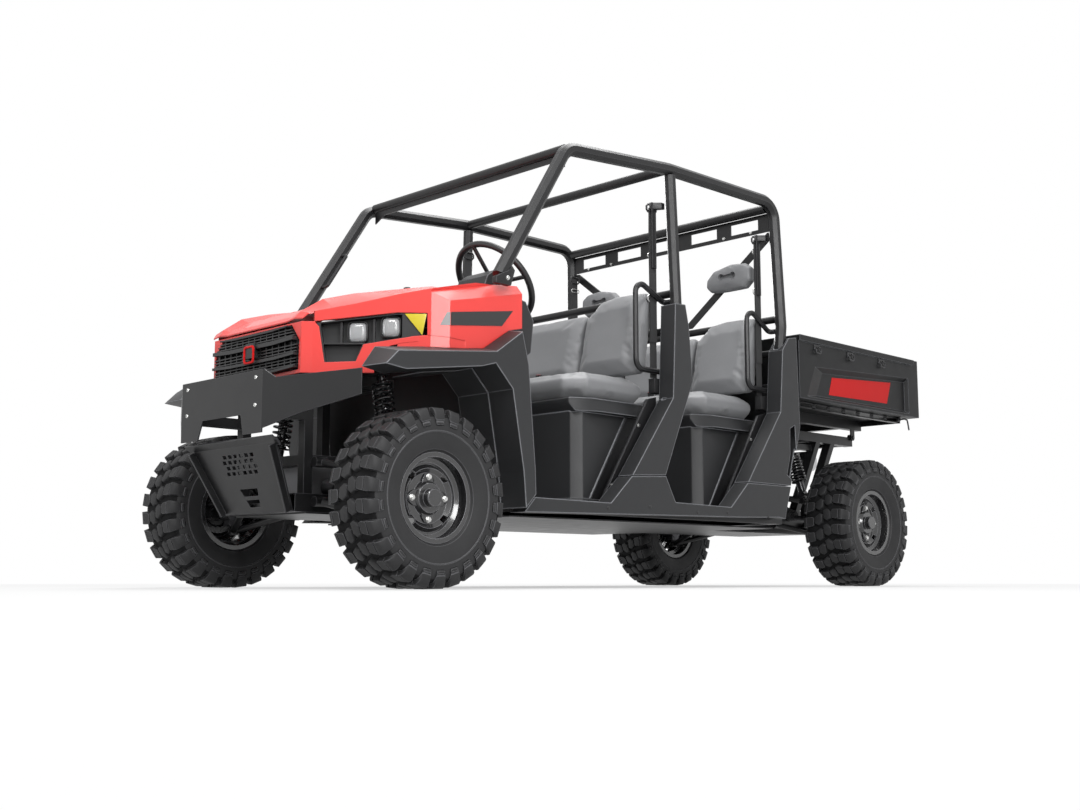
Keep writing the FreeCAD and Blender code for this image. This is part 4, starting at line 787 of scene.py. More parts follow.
@dataclass
class Wheels:
    """Lugged tyres, hub plates and wheel nuts of the four wheels."""

    track_half: float = 0.6655
    radius: float = 0.330
    half: float = 0.125
    lug_rise: float = 0.018
    lug_count: int = 26
    lug_skew: float = 0.10
    lug_round: float = 0.0016
    nut_circle: float = 0.078
    nut_count: int = 4
    nut_radius: float = 0.0105
    seat: float = 0.052
    star_thick: float = 0.0032
    star_bore: float = 0.034
    star_steps: int = 96
    steps: int = 104
    centre_plan: tuple[Pair, ...] = ((0.003, -0.026), (0.020, -0.034), (0.045, -0.016),
                                     (0.046, 0.016), (0.024, 0.027), (0.005, 0.014))

    @property
    def base(self) -> float:
        """Radius of the tyre's body under the tread."""
        return self.radius - self.lug_rise

    def spot(self, corner: Corner) -> Matrix:
        """Moves a shape from the origin to a wheel's centre."""
        return Matrix.Translation((corner.side * self.track_half, corner.y, self.radius))

    def arc(self, side: int, x: float, radius: float, along: float) -> Point:
        """A point of the tread at an offset across it and a length along it at the crown."""
        angle = along / self.radius
        return side * x, radius * math.sin(angle), -radius * math.cos(angle)

    def block(self, stuff: Stuff, side: int, stations: Sequence[tuple[float, float, float, float]],
              shift: float) -> None:
        """Adds one tread block, lofted through stations across the tyre.

        Args:
            stuff: The mesh that takes it.
            side: One for the outer half, minus one for the inner.
            stations: Offset, top radius, foot radius and half width of each.
            shift: Where the block is along the tread, in metres at the crown.
        """
        rings = []
        for x, top, foot, wide in stations:
            middle = shift + self.lug_skew * (x - 0.06)
            rings.append(stuff.loop([self.arc(side, x, radius, middle + reach) for radius, reach in
                                     ((top, -wide), (top, wide), (foot, wide * 1.12),
                                      (foot, -wide * 1.12))]))
        stuff.bridge(rings)

    def centre_block(self, stuff: Stuff, side: int, shift: float) -> None:
        """Adds a block beside the middle line, from its plan across and along the tread."""
        plan = self.centre_plan
        mx, ms = (sum(p[i] for p in plan) / len(plan) for i in (0, 1))
        rings = []
        for radius, grow in ((self.base - 0.003, 1.10), (self.radius - 0.0022, 1.0),
                             (self.radius - 0.0004, 0.90)):
            rings.append(stuff.loop([self.arc(side, mx + (x - mx) * grow, radius,
                                              shift + ms + (s - ms) * grow) for x, s in plan]))
        stuff.bridge(rings)

    def lugs(self, corner: Corner) -> bpy.types.Object:
        """One pitch of tread, both halves, repeated round the tyre."""
        stuff = Stuff("tread_" + corner.name, corner.body, "tyre_black")
        top, half = self.radius, self.half
        crown, foot = top - 0.0006, self.base - 0.004
        pitch = TURN * top / self.lug_count
        shoulder = [(0.052, crown, foot, 0.0165), (0.060, crown, foot, 0.0230),
                    (0.0892, crown, foot, 0.0250)]
        outer = [(0.0940, crown, foot, 0.0262), (0.107, crown - 0.0006, foot, 0.0262),
                 (0.1165, top - 0.010, foot - 0.010, 0.0250),
                 (half - 0.0010, top - 0.028, foot - 0.026, 0.0225),
                 (half - 0.0004, top - 0.048, foot - 0.040, 0.0210),
                 (half - 0.0022, top - 0.060, foot - 0.048, 0.0175)]
        bridge = [(x, foot + 0.012, foot, 0.0200) for x in (0.0920, 0.0935)]
        for side in (-1, 1):
            start = pitch / 2 if side < 0 else 0.0
            for stations in (shoulder, outer, bridge):
                self.block(stuff, side, stations, start)
            self.centre_block(stuff, side, start + side * pitch * 0.10)
        bmesh.ops.recalc_face_normals(stuff.mesh, faces=stuff.mesh.faces)
        made = embody(stuff.name, stuff.mesh)
        rounding = made.modifiers.new("rounding", "BEVEL")
        rounding.width, rounding.segments = self.lug_round, 1
        bake(made)
        PATTERNS.ring.apply(made, "tyre_black", Count=self.lug_count, Start=0.0)
        return made

    def carcass(self, stuff: Stuff) -> None:
        """Adds the tyre's body: rounded sidewalls with ribs, crown and bead."""
        side = [(0.0920, 0.1535), (0.0927, 0.1600), (0.0955, 0.1690), (0.1020, 0.1745),
                (0.1055, 0.1760), (0.1065, 0.1800), (0.1110, 0.1930), (0.1150, 0.2080),
                (0.1182, 0.2240), (0.1200, 0.2390), (0.1222, 0.2400), (0.1226, 0.2425),
                (0.1212, 0.2440), (0.1218, 0.2600), (0.1214, 0.2740), (0.1185, 0.2880),
                (0.1120, 0.2990), (0.1010, 0.3065), (0.0800, self.base - 0.0022),
                (0.0400, self.base - 0.0006)]
        inner = [(0.0800, 0.1560), (0.0850, 0.1900), (0.1000, 0.2400), (0.0950, 0.2820),
                 (0.0600, 0.2960)]
        self.band(stuff, side, inner)

    def band(self, stuff: Stuff, outer: list[Pair], inner: list[Pair]) -> None:
        """Adds a ring round the axle from half of its outer and of its inner profile."""
        profile = (outer + [(-x, r) for x, r in reversed(outer)] + [(-x, r) for x, r in inner]
                   + list(reversed(inner)))
        stuff.spin(profile, (0, 0, 0), (1, 0, 0), self.steps)

    def tyre(self, corner: Corner) -> None:
        """Builds one tyre in place of its plain solid."""
        tread = self.lugs(corner)
        stuff = Stuff("tyre_detail_" + corner.name, corner.body, "tyre_black")
        self.carcass(stuff)
        bmesh.ops.recalc_face_normals(stuff.mesh, faces=stuff.mesh.faces)
        stuff.mesh.from_mesh(tread.data)
        bpy.data.objects.remove(tread)
        turn = Matrix.Rotation(math.pi, 4, "Z") if corner.side < 0 else Matrix.Identity(4)
        bmesh.ops.transform(stuff.mesh, matrix=self.spot(corner) @ turn, verts=stuff.mesh.verts)
        made = embody(stuff.name, stuff.mesh)
        soften(made, 30.0)
        dress(made, corner.body, "tyre_black", ["tyre_" + corner.name])

    def grooves(self, corner: Corner) -> None:
        """Adds the dark band that lies between the tread blocks: painted shade in the grooves."""
        # The band is painted shade in the grooves, not a different rubber.
        stuff = Stuff("tread_grooves_" + corner.name, corner.body, "tyre_groove_shade")
        outer = [(0.1150, 0.2975), (0.1085, 0.3040), (0.0990, 0.3085), (0.0800, self.base + 0.0002),
                 (0.0400, self.base + 0.0020)]
        self.band(stuff, outer, [(x, r - 0.004) for x, r in outer])
        bmesh.ops.transform(stuff.mesh, matrix=self.spot(corner), verts=stuff.mesh.verts)
        stuff.done(["tyre_" + corner.name], merge=1e-7)

    def disc_ring(self, stuff: Stuff, corner: Corner, lift: float,
                  reach: Callable[[float], float]) -> list[bmesh.types.BMVert]:
        """Adds a ring on the rim's disc, with its radius given by the angle."""
        x = corner.side * (self.track_half + self.seat + 0.0001 + lift)
        angles = [TURN * k / self.star_steps for k in range(self.star_steps)]
        return stuff.loop([(x, corner.y + reach(a) * math.cos(a),
                            self.radius + reach(a) * math.sin(a)) for a in angles])

    def star(self, corner: Corner) -> None:
        """Adds the four-lobed pressed plate under the nuts."""
        stuff = Stuff("hub_star_" + corner.name, corner.body, "rim_gloss")

        def lobes(angle: float) -> float:
            """Radius of the plate's edge at an angle."""
            return 0.046 + 0.047 * abs(math.cos(2 * angle)) ** 1.6

        rings = [self.disc_ring(stuff, corner, lift, lambda a, grow=grow: lobes(a) * grow)
                 for lift, grow in ((0.0, 1.0), (0.0022, 0.985), (self.star_thick, 0.955))]
        rings += [self.disc_ring(stuff, corner, lift, lambda a: self.star_bore)
                  for lift in (self.star_thick, 0.0)]
        stuff.bridge(rings, False, True)
        stuff.done(merge=1e-7)

    def nuts(self, corner: Corner) -> None:
        """Puts the plated nuts on the star's lobes."""
        face = corner.side * (self.track_half + self.seat + self.star_thick + 0.0002)
        spots = []
        for k in range(self.nut_count):
            angle = TURN * k / self.nut_count
            spots.append(((face, corner.y + self.nut_circle * math.cos(angle),
                           self.radius + self.nut_circle * math.sin(angle)), (corner.side, 0, 0)))
        PATTERNS.fasteners("wheel_nuts_" + corner.name, corner.body, "zinc_plate", Head.HEX,
                           self.nut_radius, spots)

    def build(self) -> None:
        """Builds the four wheels."""
        for corner in CORNERS:
            self.tyre(corner)
            self.grooves(corner)
            self.star(corner)
            self.nuts(corner)


@dataclass
class Swell:
    """Cloth simulation that fills a closed shape like foam under a cover."""

    voxel: float = 0.009
    cap: float = 0.012
    pressure: float = 2.4
    frames: int = 16
    smoothing: int = 2

    def run(self, made: bpy.types.Object) -> None:
        """Remeshes, inflates with a capped displacement, and subdivides once.

        Args:
            made: The closed base shape; its mesh is replaced.
        """
        remesh = made.modifiers.new("remesh", "REMESH")
        remesh.mode = "VOXEL"
        remesh.voxel_size = self.voxel * 1.0
        bake(made)
        data = made.data
        start = [v.co.copy() for v in data.vertices]
        cloth = made.modifiers.new("cloth", "CLOTH")
        for key, value in {"quality": 4, "mass": 0.3, "tension_stiffness": 18,
                           "compression_stiffness": 18, "shear_stiffness": 10,
                           "bending_stiffness": 3.0, "use_pressure": True,
                           "uniform_pressure_force": self.pressure}.items():
            setattr(cloth.settings, key, value)
        cloth.settings.effector_weights.gravity = 0.0
        cloth.collision_settings.use_collision = False
        scene = bpy.context.scene
        for number in range(1, self.frames + 1):
            scene.frame_set(number)
        graph = bpy.context.evaluated_depsgraph_get()
        moved = [v.co.copy() for v in made.evaluated_get(graph).data.vertices]
        made.modifiers.clear()
        scene.frame_set(1)
        for vertex, a, b in zip(data.vertices, start, moved):
            step = b - a
            vertex.co = a + (step if step.length < self.cap else step.normalized() * self.cap)
        smooth = made.modifiers.new("smooth", "SMOOTH")
        smooth.factor, smooth.iterations = 0.5, self.smoothing
        finer = made.modifiers.new("finer", "SUBSURF")
        finer.levels = finer.render_levels = 1
        bake(made)


@dataclass
class Pad:
    """A cushion given by rings of points, from its back or underside to its face."""

    name: str
    rings: list[list[Point]]
    fill: float = 0.75

    def shape(self) -> bpy.types.Object:
        """Lofts the rings to a closed mesh object."""
        mesh = bmesh.new()
        loops = [[mesh.verts.new(p) for p in ring] for ring in self.rings]
        for a, b in zip(loops, loops[1:]):
            join(mesh, a, b)
        for ring in (loops[0], loops[-1]):
            mesh.faces.new(ring)
        bmesh.ops.triangulate(mesh, faces=[f for f in mesh.faces if len(f.verts) > 4])
        bmesh.ops.recalc_face_normals(mesh, faces=mesh.faces)
        return embody(self.name, mesh)


def scaled(outline: Sequence[Pair], inset: float) -> list[Pair]:
    """An outline drawn in toward its middle by about an inset."""
    us, vs = zip(*outline)
    cu, cv = (min(us) + max(us)) / 2, (min(vs) + max(vs)) / 2
    fu = 1 - 2 * inset / (max(us) - min(us))
    fv = 1 - 2 * inset / (max(vs) - min(vs))
    return [(cu + (u - cu) * fu, cv + (v - cv) * fv) for u, v in outline]


@dataclass
class Seats:
    """Bench cushions, backrests and headrests of both rows."""

    row_starts: Pair = (-0.653, 0.182)
    half: float = 0.600
    length: float = 0.448
    low: float = 0.8153
    thick: float = 0.108
    bolster: float = 0.012
    bolster_span: Pair = (0.40, 0.56)
    bolster_run: float = 0.16
    ridge: float = 0.007
    seam: float = 0.25
    seam_wide: float = 0.05
    rest_base: float = 0.940
    rest_tops: Pair = (1.340, 1.282)
    rest_reach: float = 0.332
    head_x: float = 0.440
    head_z: float = 1.565

    def crown(self, x: float, rise: float) -> float:
        """Height of a bench's top at an offset from the middle line."""
        side = abs(x)
        start, end = self.bolster_span
        swell = self.bolster
        if side < end:
            swell = max(0.0, (side - start) / self.bolster_run) * self.bolster
        seam = self.ridge * math.exp(-((side - self.seam) / self.seam_wide) ** 2)
        return self.low + self.thick + rise + swell + seam

    def bench(self, name: str, y: float) -> Pad:
        """A bench with cut front corners, a sloped nose and raised outer bolsters.

        Args:
            name: The cushion's name.
            y: Where its front edge is.

        Returns:
            The pad.
        """
        w, rear = self.half, y + self.length
        plan = [(-w, y + 0.078), (-0.505, y + 0.004), (-0.25, y + 0.002), (0.25, y + 0.002),
                (0.505, y + 0.004), (w, y + 0.078), (w, rear), (0.25, rear), (-0.25, rear),
                (-w, rear)]
        rings = [[(u, v, self.low + height) for u, v in scaled(plan, inset)] for inset, height in
                 ((0.036, 0.0), (0.030, 0.006), (0.004, 0.046), (0.006, 0.084))]
        rings += [[(u, v, self.crown(u, rise)) for u, v in scaled(plan, inset)] for inset, rise in
                  ((0.044, -0.008), (0.056, -0.004), (0.130, -0.008))]
        return Pad(name, rings)

    def rest(self, name: str, y: float, side: int) -> Pad:
        """A backrest with a sloped border round a flat face.

        Args:
            name: The pad's name.
            y: Where the row's bench starts.
            side: One for the left seat, minus one for the right, nought for the middle.

        Returns:
            The pad.
        """
        base = self.rest_base
        top = self.rest_tops[0 if side else 1]
        if side:
            outline = [(side * u, v) for u, v in (
                (0.247, base + 0.020), (0.262, base + 0.002), (0.604, base + 0.002),
                (0.620, base + 0.040), (0.620, top - 0.035), (0.598, top - 0.004), (0.430, top),
                (0.330, top - 0.012), (0.252, top - 0.085))]
        else:
            outline = [(-0.238, base + 0.006), (-0.222, base), (0.222, base),
                       (0.238, base + 0.006), (0.238, top - 0.020), (0.222, top),
                       (-0.222, top), (-0.238, top - 0.020)]
        face = y + self.rest_reach + (0.0 if side else 0.016)

        def depth(v: float, share: float) -> float:
            """Place along Y at a height, from the face to the back."""
            rise = (v - base) / 0.41
            front, back = face + 0.095 * rise, face + 0.117 + 0.080 * rise
            return front + (back - front) * share

        return Pad(name, [[(u, depth(v, share), v) for u, v in scaled(outline, inset)]
                          for inset, share in ((0.024, 0.97), (0.006, 0.90), (0.003, 0.52),
                                               (0.005, 0.36), (0.052, 0.08), (0.062, 0.03),
                                               (0.150, 0.07))])

    def headrest(self, name: str, side: int) -> Pad:
        """A pad with uneven rounded corners on the cage's brace."""
        outline = [(-0.145, -0.036), (-0.141, 0.004), (-0.096, 0.050), (0.010, 0.072),
                   (0.104, 0.064), (0.142, 0.034), (0.145, -0.036), (0.106, -0.072),
                   (-0.070, -0.070), (-0.120, -0.062)]
        rings = [[(side * (self.head_x + u), y, self.head_z + v) for u, v in scaled(outline, inset)]
                 for inset, y in ((0.034, 0.6985), (0.010, 0.692), (0.003, 0.676), (0.003, 0.660),
                                  (0.012, 0.643), (0.038, 0.6365))]
        return Pad(name, rings, 0.85)

    def slot_cut(self, made: bpy.types.Object, side: int) -> None:
        """Cuts the headrest's recess, two round ends joined by a waist."""
        reach, radius, front, steps = 0.036, 0.0185, 0.610, 14
        left = [(-reach + radius * math.cos(a), radius * math.sin(a))
                for a in (math.radians(35 + 290 * k / steps) for k in range(steps + 1))]
        outline = left + [(-u, -v) for u, v in left]
        stuff = Stuff("slot_tool", "chassis", "seat_vinyl")
        stuff.prism([(side * self.head_x + u, front, self.head_z + 0.005 + v) for u, v in outline],
                    (0, 0.046, 0))
        bmesh.ops.recalc_face_normals(stuff.mesh, faces=stuff.mesh.faces)
        tool = embody(stuff.name, stuff.mesh)
        cutter = made.modifiers.new("slot", "BOOLEAN")
        cutter.object, cutter.operation, cutter.solver = tool, "DIFFERENCE", "EXACT"
        bake(made)
        bpy.data.objects.remove(tool)

    def build(self) -> None:
        """Swells, cuts and dresses every pad."""
        pads = []
        for row, y in zip(("front", "rear"), self.row_starts):
            pads.append((self.bench("bench_" + row, y), Swell(0.011, 0.009), "seat_cushions", 0))
            for side, label in ((1, "left"), (0, "middle"), (-1, "right")):
                pads.append((self.rest(f"backrest_{row}_{label}", y, side), Swell(0.009, 0.008),
                             "seat_backs", 0))
        for side, label in ((1, "left"), (-1, "right")):
            pads.append((self.headrest("headrest_" + label, side), Swell(0.005, 0.004),
                         "seat_backs", side))
        for pad, swell, node, slot_side in pads:
            made = pad.shape()
            swell.run(made)
            if slot_side:
                self.slot_cut(made, slot_side)
            soften(made, 50.0)
            dress(made, "chassis", "seat_vinyl", [node])


@dataclass
class Belts:
    """Seat belts: webbing, guides, reels, tongues and buckles."""

    rows: tuple[Pair, ...] = ((-0.176, 1.30), (0.637, 1.46))
    post_faces: Pair = (0.6690, 0.6700)
    web_x: float = 0.6258
    web_half: float = 0.023
    web_thick: float = 0.0014
    ends: Pair = (0.935, 1.722)
    buckle_x: float = 0.088
    buckle_z: float = 0.9260

    def band(self, stuff: Stuff, path: Sequence[Point]) -> None:
        """Adds a flat strap along points, its width along the vehicle."""
        rings = []
        line = [Vector(p) for p in path]
        side = Vector((0, self.web_half, 0))
        for i, p in enumerate(line):
            along = (line[min(i + 1, len(line) - 1)] - line[max(i - 1, 0)]).normalized()
            out = along.cross(side).normalized() * self.web_thick / 2
            rings.append(stuff.loop([p - side - out, p + side - out, p + side + out,
                                     p - side + out]))
        stuff.bridge(rings)

    def wire(self, stuff: Stuff, centre: Point, wide: float, tall: float, bar: float) -> None:
        """Adds a wire loop of a width and height standing in the YZ plane."""
        cx, cy, cz = centre
        corners = [(wide / 2, -tall / 2), (wide / 2, tall / 2), (-wide / 2, tall / 2),
                   (-wide / 2, -tall / 2)]
        path = []
        cut = min(wide, tall) * 0.28
        for i, (u, v) in enumerate(corners):
            for qu, qv in (corners[i - 1], corners[(i + 1) % 4]):
                d = math.hypot(qu - u, qv - v)
                path.append((cx, cy + u + (qu - u) * cut / d, cz + v + (qv - v) * cut / d))
        stuff.pipe(path, bar, 8, closed=True)

    def straps(self, web: Stuff, side: int, y: float) -> None:
        """Adds the strap in front of the guide and the strap behind it."""
        x = side * self.web_x
        low, top = self.ends
        self.band(web, [(x + side * 0.0008 * math.sin(i * 0.9), y, low + (top - low) * i / 16)
                        for i in range(17)])
        self.band(web, [(x + side * 0.004, y + 0.001, 1.10 + 0.59 * i / 8) for i in range(9)])

    def tongue(self, metal: Stuff, side: int, y: float, adjust: float) -> None:
        """Adds the two slides and the tongue at a height on the strap."""
        x = side * self.web_x
        self.wire(metal, (x - side * 0.001, y, adjust), 0.062, 0.030, 0.0034)
        self.wire(metal, (x - side * 0.003, y + 0.002, adjust + 0.20), 0.058, 0.018, 0.0028)
        top, foot = adjust - 0.018, adjust - 0.060
        metal.prism(across("x", x - side * 0.0035, [(y - 0.016, top), (y + 0.016, top),
                                                    (y + 0.012, foot), (y - 0.012, foot)]),
                    (side * 0.0022, 0, 0))

    def guides(self, black: Stuff, side: int, y: float, reach: float) -> None:
        """Adds the reel's cover, the height rail, its arm and the upper loop."""
        x = side * self.web_x
        for at, half, span, thick in ((x - side * 0.006, 0.028, (0.864, 0.930), 0.036),
                                      (x + side * 0.007, 0.015, (1.44, 1.748), 0.008)):
            black.prism(across("x", at, oblong((y - half, y + half), span)), (side * thick, 0, 0))
        near = 0.6285
        black.prism(across("z", 1.717, [(side * near, y - 0.020), (side * reach, y + 0.020),
                                        (side * reach, y + 0.042), (side * near, y + 0.022)]),
                    (0, 0, 0.030))
        self.wire(black, (x - side * 0.002, y, 1.722), 0.066, 0.034, 0.0052)

    def buckle(self, black: Stuff, red: Stuff, side: int, y: float) -> None:
        """Adds the stalk, the buckle and its release button on the bench."""
        x, z = side * self.buckle_x, self.buckle_z
        for stuff, half, spans, at, lean in (
                (black, 0.009, (-0.006, 0.006), 0.0, (0, -0.004, 0.022)),
                (black, 0.0125, (-0.013, 0.009), 0.018, (0, -0.007, 0.042)),
                (red, 0.009, (-0.0165, -0.004), 0.0595, (0, -0.0008, 0.0022))):
            outline = oblong((x - half, x + half), (y + spans[0], y + spans[1]))
            stuff.prism(across("z", z + at, outline), lean)

    def build(self) -> None:
        """Builds both rows on both sides."""
        web = Stuff("belt_webbing_straps", "chassis", "belt_webbing")
        metal = Stuff("belt_tongues", "chassis", "zinc_plate")
        black = Stuff("belt_guides_and_reels", "chassis", "moulded_black")
        red = Stuff("belt_release_buttons", "chassis", "button_red")
        for (y, adjust), reach in zip(self.rows, self.post_faces):
            for side in (-1, 1):
                self.straps(web, side, y)
                self.tongue(metal, side, y, adjust)
                self.guides(black, side, y, reach)
                self.buckle(black, red, side, y - 0.184)
        for stuff, bevel in ((web, 0.0), (metal, 0.0), (black, 0.0022), (red, 0.0008)):
            stuff.done(["seat_belts"], bevel, merge=1e-6)


@dataclass
class Shocks:
    """Coil-over shock absorbers between the upper arms and the towers."""

    rows: tuple[Pair, ...] = ((-1.488, 0.8356), (1.349, 0.7340))
    foot: Pair = (0.392, 0.493)
    head_x: float = 0.320
    tube: float = 0.0195
    rod: float = 0.0075
    wire: float = 0.0058
    coil: float = 0.0370
    turns: int = 8
    coil_steps: int = 18
    seats: Pair = (0.312, 0.860)

    def turned(self, stuff: Stuff, foot: Vector, way: Vector, profile: Sequence[Pair],
               sides: int) -> None:
        """Adds a solid turned about the unit's line, closed on it at both ends."""
        ends = [(profile[0][0], 0.0), (profile[-1][0], 0.0)]
        stuff.spin([ends[0], *profile, ends[1]], foot, way, sides)

    def damper(self, name: str, foot: Vector, way: Vector, reach: float) -> None:
        """Builds the tube with its rod, collars, adjusting thread and eyes."""
        stuff = Stuff("shock_tube_" + name, "chassis", "spring_black")
        wide = self.tube
        self.turned(stuff, foot, way, [(0.0, wide), (0.010, wide), (reach * 0.60, wide),
                                       (reach * 0.61, 0.0172)], 28)
        self.turned(stuff, foot, way, [(reach * 0.50, self.rod), (reach, self.rod)], 16)
        for low, high, rim in ((0.285, 0.300, 0.0425), (0.300, 0.330, 0.0265),
                               (0.872, 0.900, 0.0425), (0.845, 0.872, 0.0265)):
            self.turned(stuff, foot, way, [(reach * low, rim - 0.0015),
                                           (reach * low + 0.0015, rim),
                                           (reach * high - 0.0015, rim),
                                           (reach * high, rim - 0.0015)], 32)
        for k in range(5):
            place = reach * 0.240 + k * 0.0042
            self.turned(stuff, foot, way, [(place, wide), (place + 0.0010, 0.0214),
                                           (place + 0.0020, 0.0214), (place + 0.0030, wide)], 24)
        self.turned(stuff, foot, way, [(reach * 0.90, 0.0150), (reach * 0.96, wide),
                                       (reach, wide)], 24)
        self.turned(stuff, foot, Vector((0, 1, 0)), [(-0.0180, 0.0185), (-0.0165, 0.0200),
                                                     (0.0165, 0.0200), (0.0180, 0.0185)], 28)
        stuff.done(["shock_absorbers"], merge=1e-6)

    def spring(self, name: str, foot: Vector, way: Vector, reach: float) -> None:
        """Builds the coil, with its end turns drawn together."""
        stuff = Stuff("shock_spring_" + name, "chassis", "spring_black")
        up = way.orthogonal().normalized()
        side = way.cross(up)
        low, high = self.seats
        path = []
        count = self.turns * self.coil_steps
        for k in range(count + 1):
            share = k / count
            eased = (share + 0.045 * max(0.0, 1 - share * self.turns)
                     - 0.045 * max(0.0, 1 - (1 - share) * self.turns))
            angle = TURN * self.turns * share
            path.append(foot + way * reach * (low + (high - low) * eased)
                        + (up * math.cos(angle) + side * math.sin(angle)) * self.coil)
        stuff.pipe(path, self.wire, 9)
        stuff.done(["shock_absorbers"], merge=1e-6)

    def build(self) -> None:
        """Builds the four units."""
        for (y, top), row in zip(self.rows, ("front", "rear")):
            for side, label in ((1, "left"), (-1, "right")):
                foot = Vector((side * self.foot[0], y, self.foot[1]))
                line = Vector((side * self.head_x, y, top)) - foot
                for make in (self.damper, self.spring):
                    make(f"{row}_{label}", foot, line.normalized(), line.length)


@dataclass
class Boots:
    """Rubber bellows at the joints of the half shafts."""

    inner: Pair = (0.215, 0.3935)
    outer: Pair = (0.515, 0.3420)
    reach: float = 0.075
    wide: float = 0.043
    narrow: float = 0.024
    folds: int = 5

    def bellows(self, stuff: Stuff, start: Vector, way: Vector) -> None:
        """Adds a tapered bellows along a direction."""
        profile = [(0.0, 0.0), (0.0, self.wide * 0.96)]
        taper = self.narrow - self.wide
        for k in range(self.folds):
            for step, waist in ((0.25, 1.0), (0.75, 0.80)):
                radius = self.wide + taper * (k + (0.5 if step > 0.5 else 0.0)) / self.folds
                profile.append((self.reach * (k + step) / self.folds, radius * waist))
        profile += [(self.reach, self.narrow * 0.9), (self.reach, 0.0)]
        stuff.spin(profile, start, way, 24)

    def build(self) -> None:
        """Builds the bellows at both ends of each half shaft."""
        stuff = Stuff("drive_shaft_boots", "chassis", "tyre_black")
        for y in (FRONT_AXLE, REAR_AXLE):
            for side in (-1, 1):
                start, end = (Vector((side * x, y, z)) for x, z in (self.inner, self.outer))
                way = (end - start).normalized()
                self.bellows(stuff, start, way)
                self.bellows(stuff, end, -way)
        stuff.done(merge=1e-6)


def fascia(x: float, z: float, out: float = 0.0) -> Vector:
    """A point on the slanted face beside the grille, moved outward from it.

    Args:
        x: Place across, in metres, positive on either side.
        z: Height.
        out: Distance in front of the face.

    Returns:
        The point on the left side.
    """
    turn = out / math.sqrt(2)
    return Vector((x + turn, -2.161 + x - turn, z))


